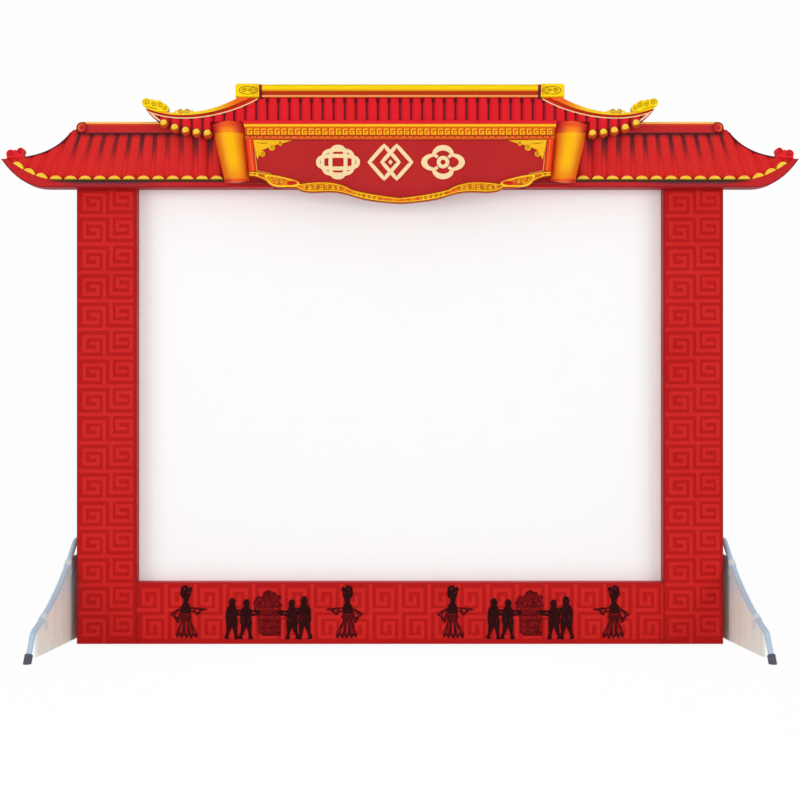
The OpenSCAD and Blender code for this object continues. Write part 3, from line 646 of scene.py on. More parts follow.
def beamMarks(color):  # a bright roll, an orange-red groove, a cream foot and dark necks at the ends
    x, y, z = axes(color)
    height = z - beam["bottom"]
    front = ramp(-y, beam["front"] - 1.5, beam["front"] - 1.1)
    foot = ramp(height, 2.5, 2.1)
    lined = blend(ramp(height, 9.4, 8.4) * 0.7, color, rgb(238, 132, 8))
    lined = blend(band(height, 4.4, 4.0, 1.0), lined, rgb(186, 50, 6))
    lined = blend(foot * front, lined, rgb(242, 156, 84))
    lined = blend(foot * (1.0 - front), lined, rgb(206, 62, 30))
    neck = blend(ramp(height, 11.0, 13.5) * 0.6, rgb(120, 34, 50), rgb(200, 44, 30))
    return blend(ramp(abs(x), beamHalf - 0.8, beamHalf - 0.2), lined, neck)


def hipMarks(color):  # yellow over the low part, orange near the tip and where it climbs to the ridge
    x, y, z = axes(color)
    side = abs(x)
    climb = calc("MAXIMUM", ramp(side, 226, 188), ramp(side, 262, 284, 0.0, 0.6))
    return blend(ramp(-y, 59.0, 60.4), rgb(206, 44, 20), blend(climb, color, rgb(240, 106, 20)))


def ballShading(color):  # gilt balls with painted light: a painted highlight above and painted brown shade below, set by which way the surface faces
    # how much the surface faces a light from above and in front; sets the painted highlight and shade
    facingLight = dot(normalOf(color.tree), (-0.25, -0.1, 0.95))
    lower = blend(ramp(facingLight, -0.1, -0.7), color, rgb(186, 70, 16))
    return blend(ramp(facingLight, 0.1, 0.65), lower, rgb(255, 236, 104))


gold = goldPaint("gold", (254, 222, 14), (242, 194, 14))
scallopGold = goldPaint("scallopGold", (254, 206, 70), (250, 190, 50), scallopMarks)
beamGold = goldPaint("beamGold", (252, 214, 10), (247, 202, 12), beamMarks)
hipGold = goldPaint("hipGold", (251, 206, 40), (246, 186, 34), hipMarks)
roundGold = goldPaint("roundGold", (254, 208, 56), (248, 190, 42), ballShading)
# The studs under the domes are a dark rust red, which shows below each ball as painted shade
roundShadeDisc = goldPaint("roundShadeDisc", (186, 66, 22), (168, 52, 20))
engraved = goldPaint("engraved", (168, 96, 6), (140, 74, 8))
cream = paint("cream", (252, 222, 172), (246, 208, 150), size=14.0, worn=(255, 240, 214), radius=0.3)
warmLine = paint("warmLine", (254, 206, 104), (246, 184, 76), size=10.0, worn=(255, 230, 170), radius=0.3)
yellowLine = paint("yellowLine", (255, 208, 34), (250, 190, 24), size=10.0, worn=(255, 230, 120), radius=0.3)
maroonLine = paint("maroonLine", (104, 20, 30), (84, 16, 26), size=12.0, worn=(150, 50, 60), radius=0.2)
redLine = paint("redLine", (204, 36, 22), (186, 28, 20), size=12.0, radius=0.2)
rustLine = paint("rustLine", (160, 48, 10), (138, 38, 10), size=10.0, worn=(200, 90, 40), radius=0.2)
orangeLine = paint("orangeLine", (242, 122, 44), (230, 100, 36), size=10.0, worn=(255, 190, 120), radius=0.2)

# Materials of the board and columns

friezeRows = {"beadLow": 600.2, "beadHigh": 603.0, "capLow": 612.6, "pitch": 8.0}
columnShape = {
    "top": column["top"], "bottom": column["bottom"], "x": 203.0, "lean": math.tan(math.radians(9.5)),
    "half": 18.8, "taper": 0.0668, "neck": 12.7,
}


def friezeMarks(color):  # an orange bead, a rust line over it and a bright cap
    x, y, z = axes(color)
    bead, cap = friezeRows["beadHigh"], friezeRows["capLow"]
    edged = blend(ramp(z, bead - 0.6, bead - 1.0), color, rgb(236, 104, 34))
    edged = blend(band(z, bead + 0.1, 1.2, 0.3), edged, rgb(172, 48, 12))
    top = blend(ramp(z, cap + 0.4, cap + 1.4), rgb(244, 140, 18), rgb(254, 192, 24))
    return blend(ramp(z, cap - 0.3, cap), edged, top)


def columnShading(color):  # painted light on a round column: a yellow painted highlight down the middle and orange painted shade at the sides; a red-orange neck and foot, shaded at their sides the same way
    x, y, z = axes(color)
    drop = columnShape["top"] - z
    axis = columnShape["x"] - drop * columnShape["lean"]
    half = columnShape["half"] - drop * columnShape["taper"]
    # painted light: 0 down the middle of the column, 1 at its sides, where it is painted as shade
    side = ramp(abs((abs(x) - axis) / half), 0.15, 0.9)
    neckLow, foot = columnShape["top"] - columnShape["neck"], columnShape["bottom"]
    neckMiddle = blend(ramp(z, neckLow + 2, neckLow + 9), rgb(252, 138, 24), rgb(238, 84, 28))
    neckColor = blend(side, neckMiddle, rgb(196, 40, 34))
    body = blend(side, rgb(254, 186, 4), rgb(232, 116, 18))
    body = blend(ramp(z, foot + 24, foot + 4, 0.0, 0.6), body, rgb(236, 104, 16))
    drawn = blend(ramp(z, neckLow - 0.8, neckLow + 0.8), body, neckColor)
    return blend(ramp(z, foot + 4.2, foot + 3.4), drawn, blend(side, rgb(236, 92, 26), rgb(206, 40, 30)))


def nameShade(color):  # painted shade right under the frieze
    x, y, z = axes(color)
    return blend(ramp(z, board["top"] - 2.0, board["top"] - 1.2), color, rgb(150, 34, 24))


def borderMarks(color):  # cloudy orange on the face, rust on its sides
    x, y, z = axes(color)
    face = ramp(-y, border["front"] - 0.8, border["front"] - 0.2)
    cloudy = ramp(noise(millimetres(color.tree), 0.16, 3.0), 0.4, 0.62)
    return blend(face, rgb(190, 84, 16), blend(cloudy, color, rgb(212, 84, 20)))


columnPaint = goldPaint("columnPaint", (254, 190, 4), (246, 168, 12), columnShading)
friezeGold = goldPaint("friezeGold", (218, 94, 8), (204, 80, 6), friezeMarks, size=8.0)
crimson = paint("crimson", (186, 37, 38), (176, 30, 34), size=50.0, gloss=0.52, marks=nameShade)
borderGold = goldPaint("borderGold", (240, 142, 22), (228, 112, 22), borderMarks, size=22.0)
mouldingRed = paint("mouldingRed", (246, 64, 28), (234, 56, 24), size=20.0, worn=(250, 150, 110))
scrollGold = goldPaint("scrollGold", (250, 194, 26), (236, 164, 22), size=9.0)

# Materials of the wings, the screen and the figures


def makePanelCream():  # painted thin board with a faint grain, cooler towards its top
    material, tree, shader = newMaterial("panelCream")
    wood = useGroup(tree, woodGrain, Light=rgb(248, 250, 242), Dark=rgb(236, 238, 226),
                    Stretch=(1, 1, 0.05), Ring=9.0)
    x, y, z = axes(wood["Color"])
    cool = blend(ramp(z, 40.0, 96.0, 0.0, 0.8), wood["Color"], rgb(212, 232, 246))
    finishSurface(shader, cool, ramp(wood["Mask"], 0.0, 1.0, 0.5, 0.6), wood["Height"], 0.06, (0.5, 0.3),
                  (220, 204, 176))
    return material


def makeRubber():
    material, tree, shader = newMaterial("footRubber")
    place = millimetres(tree)
    grain = noise(place, 1.6, 4.0)
    dark = blend(ramp(noise(place, 0.15), 0.4, 0.7, 0.0, 0.35), rgb(74, 78, 86), rgb(112, 116, 122))
    finishSurface(shader, dark, ramp(grain, 0.3, 0.7, 0.65, 0.85), grain, 0.06, (0.8, 0.7), (110, 112, 116))
    return material


def makeScreenCloth():  # plain weave cotton, bleached white
    threadPitch = 0.8
    material, tree, shader = newMaterial(
        "screenCloth", Sheen_Weight=0.15, Sheen_Roughness=0.5, Emission_Strength=0.03)
    place = millimetres(tree)
    x, y, z = axesOf(place)
    weft, warp = (calc("SINE", way * (math.tau / threadPitch)) for way in (x, z))
    slub = noise(stretched(place, (0.04, 1.0, 1.0)), 0.5)
    thread = ramp(weft * warp, -1.0, 1.0, 0.0, 0.5) + slub * 0.5
    bleached = blend(ramp(thread, 0.2, 0.8), rgb(250, 250, 250), rgb(254, 254, 254))
    finishSurface(shader, bleached, ramp(thread, 0.0, 1.0, 0.92, 0.8), thread, 0.05)
    feed(shader["Emission Color"], bleached)  # stands for the light that comes through thin cotton
    return material


def wingEnamel(name, color, shade, worn):
    return paint(name, color, shade, size=30.0, gloss=0.34, worn=worn, radius=0.3)


def puppetLeather(name, color, shade, worn, size=3.0):
    return paint(name, color, shade, size=size, mottle=0.9, gloss=0.75, worn=worn, wear=0.1, radius=0.1)


rodEnamel = wingEnamel("rodEnamel", (192, 214, 232), (166, 192, 214), (140, 148, 156))
paleEnamel = wingEnamel("paleEnamel", (226, 232, 234), (208, 216, 220), (170, 176, 182))
panelCream = makePanelCream()
footRubber = makeRubber()
screenCotton = makeScreenCloth()
puppetBlack = puppetLeather("puppetBlack", (52, 4, 8), (16, 2, 3), (70, 6, 8))
puppetBrown = puppetLeather("puppetBrown", (96, 8, 12), (44, 4, 6), (110, 12, 12))
puppetRed = puppetLeather("puppetRed", (118, 8, 14), (66, 4, 8), (140, 20, 20), size=4.0)
print("Materials made")


def pair(name):
    return [name + "_left", name + "_right"]


finishes = {
    redPrint: ["left_post", "right_post", "bottom_rail", "top_rail"],
    zincSteel: ["corner_plates"] + pair("button_top") + pair("button_bottom") + pair("button_side"),
    uprightPine: pair("stretcher"),
    levelPine: ["stretcher_top", "stretcher_bottom"],
    roofBoard: ["roof_backboard", "header_spacer", "upper_roof_board"],
    eaveRed: pair("lower_eave"),
    lowerTile: pair("lower_tiles"),
    ridgeRed: pair("lower_ridge"),
    scallopGold: ["lower_tile_ends"],
    crestRed: pair("crest"),
    upperTile: ["upper_tiles"],
    beamGold: ["upper_ridge_beam"],
    gold: pair("ridge_block") + pair("tip_cloud"),
    hipGold: pair("hip_band"),
    roundShadeDisc: ["upper_tile_ends"],
    friezeGold: ["frieze"],
    crimson: ["nameplate"],
    borderGold: ["nameplate_border"],
    mouldingRed: ["side_mouldings"],
    scrollGold: ["corner_scrolls"],
    columnPaint: pair("column"),
    rodEnamel: pair("wing_rod") + pair("wing_collar"),
    paleEnamel: pair("wing_clips") + pair("wing_bracket"),
    panelCream: pair("wing_panel"),
    footRubber: pair("wing_foot"),
}
for material, names in finishes.items():
    for name in names:
        nodes[name].data.materials.clear()
        nodes[name].data.materials.append(material)
print("Finishes on the frame's own nodes")

# The square fret printed on the posts and the bottom rail

fret = {
    "rows": 16, "railCells": 18, "railTop": 74.0, "line": 4.2, "proud": 0.35, "sink": 0.2, "full": 34.2,
    "divider": [(4.4, 0.0), (66.0, 0.0)],
    "left": [(18.3, 16.7), (25.7, 16.7), (25.7, 26.0), (9.2, 26.0), (9.2, 8.8), (33.2, 8.8), (33.2, 34.2)],
    "right": [(58.7, 16.9), (48.9, 16.9), (48.9, 7.8), (65.3, 7.8), (65.3, 25.5), (41.5, 25.5), (41.5, 0.0)],
}
fretCell = []  # boxes of one cell, across the board and down from the divider above it
for line in (fret["divider"], fret["left"], fret["right"]):
    half = fret["line"] / 2
    for (a, b), (c, d) in zip(line, line[1:]):
        fretCell.append((min(a, c) - half, min(b, d) - half, max(a, c) + half, max(b, d) + half))


def fretPiece(name, boxes):
    front = post["front"]
    reliefPiece(name, boxes, front - fret["sink"], front + fret["proud"], fretLight)


def fretPost(name, left):
    pitch = eaveZ / fret["rows"]
    scale = pitch / fret["full"]
    boxes = []
    for row in range(fret["rows"]):
        top = eaveZ + 3 - row * pitch
        for a, b, c, d in fretCell:
            low, high = max(top - d * scale, 1.0), min(top - b * scale, eaveZ + 2)
            if high > low:
                boxes.append((left + max(a, 1.0), low, left + min(c, 71.0), high))
    fretPiece(name, boxes)


def fretRail():  # the post's pattern turned a quarter to the right
    pitch = 2 * openHalf / fret["railCells"]
    scale = pitch / fret["full"]
    boxes = []
    for cell in range(fret["railCells"]):
        right = openHalf - cell * pitch
        for a, b, c, d in fretCell:
            low, high = max(right - d * scale, -openHalf + 0.2), min(right - b * scale, openHalf - 0.2)
            boxes.append((low, fret["railTop"] - c, high, fret["railTop"] - a))
    fretPiece("fret_rail", boxes)


fretPost("fret_left", post["left"])
fretPost("fret_right", openHalf)
fretRail()
print("Fret laid on the frame")

# Shadow figures on the bottom rail: leather cut-outs with their parts laid over each other

puppets = {"skin": 0.5, "step": 0.06, "dancers": (63.0, 256.9), "sedans": 157.0, "floor": 6.2}

dancerParts = {
    "skirt": [
        [(-4, 27), (4, 27), (6, 20), (10, 12), (13.5, 4), (11, 1), (8.5, 4), (6, 0), (3.4, 4), (1, 0),
         (-2, 3.6), (-5, 0), (-7, 4), (-10, 1), (-11, 6), (-8, 14), (-6, 20)],
        [(-0.4, 19), (0.8, 19), (1.4, 6), (-0.4, 7)], [(3.4, 19), (4.2, 18), (7.4, 7), (5.6, 7)],
        [(-3.6, 19), (-4.4, 18), (-6.4, 8), (-4.8, 7)], [(7.2, 12), (8.6, 11), (10.8, 6.4), (9.4, 6.4)],
        [(-6.8, 13), (-8.2, 10), (-8.8, 6), (-7.8, 7)]],
    "long sleeve": [
        [(1, 37), (8, 36.4), (15, 36), (23, 35), (24.6, 33.4), (19, 32.4), (16, 29.4), (12, 27), (10, 30),
         (5, 31), (1, 31)],
        [(11, 33.6), (15, 33.4), (14, 31), (12, 31.4)], [(5.6, 34.6), (8.6, 34.4), (8.4, 32.8), (5.8, 33)]],
    "low sleeve": [
        [(-1, 38), (-6, 36), (-12, 33), (-17.6, 28), (-14, 25), (-11, 20), (-8, 18), (-7.6, 24), (-4, 29)],
        [(-8, 32), (-12, 28.6), (-10, 25), (-7.6, 29)], [(-13.4, 29.6), (-15, 27.8), (-12.6, 27)]],
    "waist": [
        [(-4.6, 31), (4.6, 31), (6.4, 27), (7, 23), (3, 25.6), (0, 23), (-3, 25.6), (-7, 22), (-6.2, 27)],
        [(-3, 28.6), (3, 28.6), (2.6, 27.4), (-2.6, 27.4)]],
}
dancerCore = {
    "coat": [[(-4.6, 30), (4.4, 30), (5.6, 34), (4.4, 39), (2, 42), (-2.4, 42), (-5, 38), (-5.8, 34)]],
    "head": [[(-2.6, 47.6), (-2.8, 44), (-1.6, 41), (1.8, 41), (3.4, 44), (3.6, 47), (2, 49.4),
              (-1.6, 49.4)]],
    "plume": [
        [(-4.8, 48), (-2, 46.6), (3.2, 47.4), (5.4, 50), (5.8, 54), (7.4, 57.6), (5.4, 60), (3, 58.4),
         (1, 61.6), (-2.6, 61.4), (-5.4, 58.6), (-6.2, 53)],
        [(-3.0, 56.2), (-1.4, 57.4), (0.6, 57.6), (-1.2, 58.8)], [(1.8, 51.8), (4.4, 53.4), (4.6, 55.4),
         (3.2, 53.8)]],
}
bearerParts = {
    "back leg": [
        [(-5.6, 19), (0.6, 20), (-0.4, 14), (-3.6, 7), (-5.0, 2.4), (-3.8, 0.2), (-8.2, 0.4), (-9.0, 2.6),
         (-7.0, 7), (-6.8, 12)]],
    "front leg": [[(-1.4, 20), (5.8, 19), (6.2, 13), (5.8, 7), (7.6, 2), (7.8, 0), (3.0, 0.2), (3.0, 5),
                   (1.2, 12)]],
    "tunic": [
        [(-2.6, 40), (2.8, 40), (5.0, 36), (5.6, 28), (6.8, 19), (4, 15.6), (0, 18), (-4, 15.4), (-7.0, 19),
         (-7.4, 28), (-6.6, 35)],
        [(-3.4, 27), (-2.8, 27), (-3.4, 20), (-4.2, 20)], [(2.6, 26), (2.2, 26), (2.6, 20), (3.4, 20)]],
    "arms": [
        [(-3, 37), (3, 36.6), (8, 35), (14, 35.6), (16.4, 34), (16, 30.4), (10, 29), (4, 27), (-1, 29)],
        [(7.4, 33), (10.4, 33), (10.2, 31), (7.6, 31)]],
    "head": [
        [(-3.2, 45.8), (-3.6, 42.6), (-2.2, 40), (0.4, 38.8), (3.0, 40), (4.0, 42.4), (3.8, 45.6),
         (1.6, 48.4), (-1.4, 48.4)]],
}


def slots(places, low, high, width=0.8):  # a row of narrow upright cuts
    return [rectangle(x - width / 2, low, x + width / 2, high)[::-1] for x in places]


chairParts = {
    "body": [
        [(-13.4, 8), (-7.8, 3.6), (13.2, 3.6), (13.6, 7), (13.6, 39), (-13.6, 39)],
        *slots((-11.6, -9.6, -7.6, -5.6, -3.6, -1.6, 0.4), 23.6, 37.4, 0.9),
        *slots((-11.6, -3.4, 11.6), 9.6, 20.6, 0.9),
        *slots((-9.2, -7.4, -5.6), 8.0, 13.0), *slots((-9.2, -7.4, -5.6), 15.0, 20.6),
        *slots((-1.0, 0.8, 2.6, 4.4, 6.2, 8.0), 6.2, 12.4, 0.7),
        *slots((-1.0, 0.8, 2.6, 4.4, 6.2, 8.0), 14.4, 20.6, 0.7),
        *slots((3.0, 11.6), 23.6, 37.4, 0.9), *slots((5.2, 7.2, 9.2), 34.6, 37.4, 1.2),
        *slots((5.2, 9.2), 24.0, 27.0, 1.2)],
    "sill": [rectangle(-14.2, 21.8, 14.2, 23.0)],
    "flower": [
        [(3.4, 30), (5.2, 33), (7.2, 32), (9.2, 33), (11, 30), (9.2, 27), (7.2, 28.2), (5.2, 27)],
        [(6.2, 31), (8.2, 31), (8.2, 29.2), (6.2, 29.2)]],
}
roofParts = {
    "dome": [
        [(-13.6, 38), (13.6, 38), (14.4, 42.6), (12.6, 46), (14.6, 49.4), (12.4, 52.6), (9.4, 52.4),
         (7.4, 55.8), (3.4, 56.6), (0, 58.8), (-3.6, 57.4), (-6.4, 55.8), (-7.8, 52), (-11, 51),
         (-13.6, 51.8), (-16.0, 49.4), (-18.2, 45), (-19.4, 41), (-16.6, 40)],
        *[circle(x, z, r, 8) for x, z, r in (
            (-11.4, 46.8, 1.0), (-7.0, 42.6, 1.1), (-3.2, 47.6, 0.9), (-1.2, 42.4, 1.1), (2.2, 51.0, 0.9),
            (4.8, 46.2, 1.2), (9.4, 42.0, 1.1), (10.6, 48.6, 0.9), (-3.0, 53.2, 0.8), (6.4, 52.6, 0.7),
            (-14.4, 43.2, 0.9))]],
    "tassel": [[(-17, 40), (-18.0, 36), (-17.2, 32), (-15.8, 34), (-15.4, 40)]],
    "upper pole": [rectangle(-21, 33.0, 21, 34.1)],
    "lower pole": [rectangle(-21, 27.8, 21, 28.9)],
    "lowest pole": [rectangle(12, 24.0, 21, 24.9)],
}
sharpParts = ("body", "sill", "upper pole", "lower pole", "lowest pole")


def figurePiece(name, material, figures):
    bm = bmesh.new()
    back = post["front"] + fret["proud"] - 0.1
    for parts, x, face, size, under in figures:  # under: how many layers lie below the first part
        for order, (part, loops) in enumerate(parts.items()):
            placed = []
            for loop in loops:
                shape = loop if part in sharpParts else roundLoop(loop)
                placed.append([(x + face * px * size, puppets["floor"] + pz * size) for px, pz in shape])
            addPlate(bm, placed, back, back + 0.1 + puppets["skin"] + (order + under) * puppets["step"])
    meshPiece(name, bm, material)


for side, word in ((-1, "left"), (1, "right")):
    inner, outer = puppets["dancers"]
    for place, x, face in (("inner", side * inner, side), ("outer", side * outer, -side)):
        figurePiece(f"dancer_{place}_{word}", puppetBrown, [(dancerParts, x, face, 1.04, 0)])
        figurePiece(f"dancer_{place}_{word}_core", puppetBlack, [(dancerCore, x, face, 1.04, 4)])
    middle = side * puppets["sedans"]
    figurePiece(f"sedan_chair_{word}", puppetRed, [
        (chairParts, middle, 1, 1.0, 0), (roofParts, middle, 1, 1.0, 3),
    ])
    figurePiece(f"bearers_{word}", puppetBlack, [
        (bearerParts, middle + 42.4, -1, 1.05, 9), (bearerParts, middle + 27.4, -1, 0.97, 15),
        (bearerParts, middle - 27.4, 1, 0.98, 9), (bearerParts, middle - 44.4, 1, 1.0, 15),
    ])
print("Figures on the bottom rail")

# Lower roof: drawn lines, ridge lines and rings

roofShape = {
    "tipRise": 33.6, "eaveOut": 32.0, "sweep": 30.0, "slopeOut": 57.2, "footLift": 2.4, "headIn": 4.5,
    "headDrop": 1.2, "slopeSweep": 13.6, "slopeSag": 6.0, "ridgeEnd": -197.0, "edgingBack": 30.2,
}
boss = {"radius": 6.5, "x": ridge["left"] + 6.5, "z": (ridge["top"] + ridge["bottom"]) / 2}
tip = (eave["left"], eaveZ + roofShape["tipRise"])
eaveEnd = (-halfWidth - roofShape["eaveOut"], eaveZ)
eaveCurve = bezier(eaveEnd, moved(eaveEnd, -roofShape["sweep"], 0), tip)
slopeFoot = (-halfWidth - roofShape["slopeOut"], tip[1] + roofShape["footLift"])
slopeCurve = bezier(
    (roofShape["headIn"] - halfWidth, ridge["top"] - roofShape["headDrop"]),
    (-halfWidth - roofShape["slopeSweep"], slopeFoot[1] + roofShape["slopeSag"]), slopeFoot)

underLine = offsetLine([(-200.0, eaveZ)] + eaveCurve, -0.5)
linePair("eave_lines", eave["front"], [underLine], 0.45, maroonLine, "eave_red")
slopeLine = [place for place in offsetLine(slopeCurve, 0.3) if place[1] < boss["z"] - 2]
platePair("slope_edgings", ribbon(slopeLine, 1.5), roofShape["edgingBack"], tileBed + 4.0, maroonLine,
          bevel=0.3)
# Painted highlight: a warm line along the top of the lower ridge
ridgeHighlight = [(boss["x"] + 4.0, ridge["top"] - 1.1), (roofShape["ridgeEnd"], ridge["top"] - 1.1)]
linePair("ridge_highlight_lines", ridge["front"] - 2.2, [ridgeHighlight], 1.2, warmLine, "gold_paint")
bossArc = spiral(boss["x"], boss["z"], 4.0, 3.7, 0.5, start=95)
linePair("ridge_rings", ridge["front"], [bossArc], 0.9, orangeLine, "gold_paint", taper=True)
bossRim = circle(boss["x"], boss["z"], boss["radius"] - 0.5, 32)
linePair("ridge_end_rims", ridge["front"], [bossRim], 0.45, maroonLine, "eave_red", closed=True)
crestCurls = [spiral(-461.8, 584.6, 3.6, 0.8, 1.3, start=150, hand=-1),
              spiral(-450.4, 587.6, 2.8, 0.7, 1.2, start=30)]
linePair("crest_curls", edges("crest_left")["front"], crestCurls, 0.4, maroonLine, "tile_red", taper=True)

# Round gold ends: domes on the node's own studs

# The domes sit raised on their studs, so that more of the dark stud shows below each one as painted shade
dome = {"share": 0.77, "raise": 0.8, "height": 2.6, "sink": 0.6}
domeArc = [(math.cos(a), dome["height"] * math.sin(a)) for a in (0.12, 0.3, 0.5, 0.7, 0.9, 1.15, 1.4)]
rims = []
bm = bmesh.new()
for low, high in islandBoxes("upper_tile_ends"):
    size = (high[0] - low[0]) / 2 * dome["share"]
    x, z = (low[0] + high[0]) / 2, (low[2] + high[2]) / 2 + dome["raise"]
    arc = [(size * share, rise) for share, rise in domeArc]
    profile = [(size, -dome["sink"])] + arc + [(0, dome["height"])]
    addTurned(bm, x, low[1], z, profile, -1, 24)
    rims.append(atDepth(circle(x, z, size), -low[1] - 0.4))
meshPiece("round_end_domes", bm, roundGold, smoothAngle=70)
tubePiece("round_end_rims", rims, 0.35, rustLine, "gold_paint", closed=True)

# Upper roof: hips, clouds, ridge blocks

upperShape = {
    "tipDrop": 11.6, "rootOut": 21.2, "rootUp": 2.1, "beamCad": 164.6, "lowOut": 18.5, "lowRise": 58.3,
    "stripBack": 54.8, "stripFront": 58.4, "lineFront": 55.4,
}
hip = edges("hip_band_left")
hipTip = (hip["left"], upperTop - upperShape["tipDrop"])
hipRoot = (-upperShape["beamCad"] - upperShape["rootOut"], upperTop + upperShape["rootUp"])
hipOuter = bezier(hipRoot, moved(hipRoot, -32.2, -19.6), moved(hipTip, 36.2, -12.7), hipTip)
innerTip = moved(hipTip, 0, -3)
innerRoot = (2.8 - upperShape["beamCad"], upperTop + 2.9)
hipInner = bezier(innerRoot, moved(innerRoot, -32.7, -21.3), moved(innerTip, 41.3, -18.4), innerTip)
hipBead = [(0.38 * a + 0.62 * c, 0.38 * b + 0.62 * d) for (a, b), (c, d) in zip(hipOuter, hipInner)]
creamLine = [place for place in offsetLine(hipInner, 0.7) if place[1] < upperTop - 0.8]
linePair("hip_cream_lines", hip["front"] - 3, [creamLine], 0.75, cream, "amber_paint")
darkLine = [place for place in offsetLine(hipInner, 2.0)
            if place[1] < upperTop - 2.0 and place[0] > hipTip[0] + 26]
linePair("hip_shadow_lines", hip["front"] - 5.2, [darkLine], 0.5, maroonLine, "tile_red")
beadLine = [place for place in hipBead if place[1] < upperTop - 0.8]
linePair("hip_red_lines", hip["front"] - 0.3, [beadLine], 0.5, rustLine, "amber_paint")
lowEnd = (-columnShape["x"] - upperShape["lowOut"], eaveZ + upperShape["lowRise"])
underTip = bezier(innerTip, (innerTip[0] + 20, lowEnd[1] + 2.3), lowEnd, steps=24)
tipEdge = [place for place in offsetLine(underTip, 1.9) if place[0] < -278 and place[1] < innerTip[1] - 1.5]
platePair("tip_edge_strips", ribbon(tipEdge, 1.8), upperShape["stripBack"], upperShape["stripFront"], cream)
darkEdge = [place for place in offsetLine(underTip, 0.3) if place[0] < -276]
linePair("tip_edge_lines", upperShape["lineFront"], [darkEdge], 0.5, maroonLine, "tile_red")

cloud = edges("tip_cloud_left")["front"]
cloudLoop = roundLoop([
    (-301.6, 640.6), (-299.6, 644.2), (-296.0, 645.6), (-292.4, 644.6), (-289.6, 643.0), (-284.6, 643.4),
    (-279.6, 642.4), (-276.0, 639.4), (-272.8, 636.6), (-271.0, 632.6), (-273.4, 630.6), (-284.0, 630.6),
    (-291.4, 632.6), (-297.0, 634.4), (-300.8, 637.2)])
platePair("cloud_faces", [cloudLoop], cloud - 3, cloud + 0.8, gold, bevel=0.4)
cloudCurls = [spiral(x, z, size, inner, turns, start=start, hand=-1) for x, z, size, inner, turns, start in (
    (-296.6, 641.0, 3.6, 0.6, 1.5, 200), (-288.4, 638.6, 3.4, 0.6, 1.5, 190),
    (-281.0, 637.6, 3.6, 0.6, 1.5, 200), (-275.4, 633.8, 2.4, 0.5, 1.3, 190))]
cloudCurls.append(bezier((-298.0, 636.4), (-290.0, 634.6), (-283.0, 632.6)))
linePair("cloud_curls", cloud + 0.8, cloudCurls, 0.42, engraved, "gold_paint", taper=True)

block = edges("ridge_block_left")
blockX = (block["left"] + block["right"]) / 2
blockZ = (block["top"] + block["bottom"]) / 2
blockCurls = [
    spiral(blockX, blockZ - 0.3, 9.4, 9.4, 1.0, squash=0.48, steps=36),
    spiral(blockX + 1.6, blockZ - 0.3, 9.8, 9.8, 0.34, start=-61, squash=0.52, steps=36),
    spiral(blockX - 3.4, blockZ - 0.4, 3.4, 0.7, 1.5, squash=0.8),
    spiral(blockX + 4.2, blockZ - 0.6, 3.0, 0.7, 1.4, start=180, hand=-1, squash=0.8),
]
linePair("block_curls", block["front"], blockCurls, 0.42, engraved, "gold_paint")
blockTop, blockLow = (block["right"], block["top"]), (block["right"], block["bottom"])
blockEdge = [moved(blockTop, -5.6, -1.2), moved(blockTop, -2.0, -3.0), (block["right"] - 1.0, blockZ),
             moved(blockLow, -2.0, 2.6), moved(blockLow, -6.4, 0.8)]
linePair("block_edge_lines", block["front"], [blockEdge], 0.5, orangeLine, "gold_paint", taper=True)

hipCurls = []
hipTails = []
for inset, turn in ((40.2, -1), (47.8, 1)):
    cx = hipTip[0] + inset
    cz = heightAt(hipOuter, cx) + 1.2
    hipCurls.append(spiral(cx, cz, 2.9, 1.1, 1.2, start=90 - 80 * turn, hand=turn))
    hipTails.append(spiral(cx, cz, 1.6, 1.4, 1.6))  # the gold behind each curl
for inset, reach in ((38.4, -6.4), (49.6, 6.4)):
    cx = hipTip[0] + inset
    cz = heightAt(hipOuter, cx + reach)
    root = (cx, heightAt(hipOuter, cx) + 2.2)
    hipTails.append([root, (cx + reach * 0.6, cz + 1.6), (cx + reach, cz + 0.2)])
linePair("hip_curls", hip["front"], hipCurls, 0.34, engraved, "gold_paint")
linePair("hip_curl_tails", hip["front"] - 1.2, hipTails, 1.1, gold, "gold_paint", taper=True)
print("Roof lines and curls")

# A strip between the frieze and the tiles over it

fillet = {"low": frieze["top"] + 0.15, "high": frieze["top"] + 4.4, "half": 184.4, "reach": 8.2}
bm = bmesh.new()
filletLoop = rectangle(-fillet["half"], fillet["low"], fillet["half"], fillet["high"])
addPlate(bm, [filletLoop], board["back"] - 0.2, board["back"] + fillet["reach"])
meshPiece("tile_fillet", bm, crestRed, bevel=0.7)

# Frieze: a row of small key marks over a line of dots

keyMarks = []
dots = []
count = int((frieze["right"] - 6) / friezeRows["pitch"])
low, high = friezeRows["beadHigh"] + 1.6, friezeRows["capLow"] - 1.0
middle = (low + high) / 2
for k in range(-count, count + 1):
    x = k * friezeRows["pitch"]
    keyMarks += [
        (x - 3.2, high - 1.2, x + 2.6, high), (x - 3.2, low, x - 2.0, high),
        (x - 3.2, low, x + 2.6, low + 1.2), (x + 1.4, low, x + 2.6, middle + 0.4),
        (x - 0.6, middle - 0.8, x + 2.6, middle + 0.4),
    ]
    dots.append(atDepth(circle(x, friezeRows["beadLow"] + 1.5, 0.5, 10), frieze["front"] - 2))
reliefPiece("frieze_keys", keyMarks, frieze["front"] - 4.2, frieze["front"] - 3.5, yellowLine)
tubePiece("frieze_dots", dots, 0.4, rustLine, "gold_paint", closed=True)

# Name board: framing lines, border swirls and three traditional ornaments


def chain(*points):  # a line of arcs: each second point bends the arc between its neighbours
    line = []
    for start, bend, end in zip(points[::2], points[1::2], points[2::2]):
        line += bezier(start, bend, end, steps=8)[:-1]
    return line + [points[-1]]


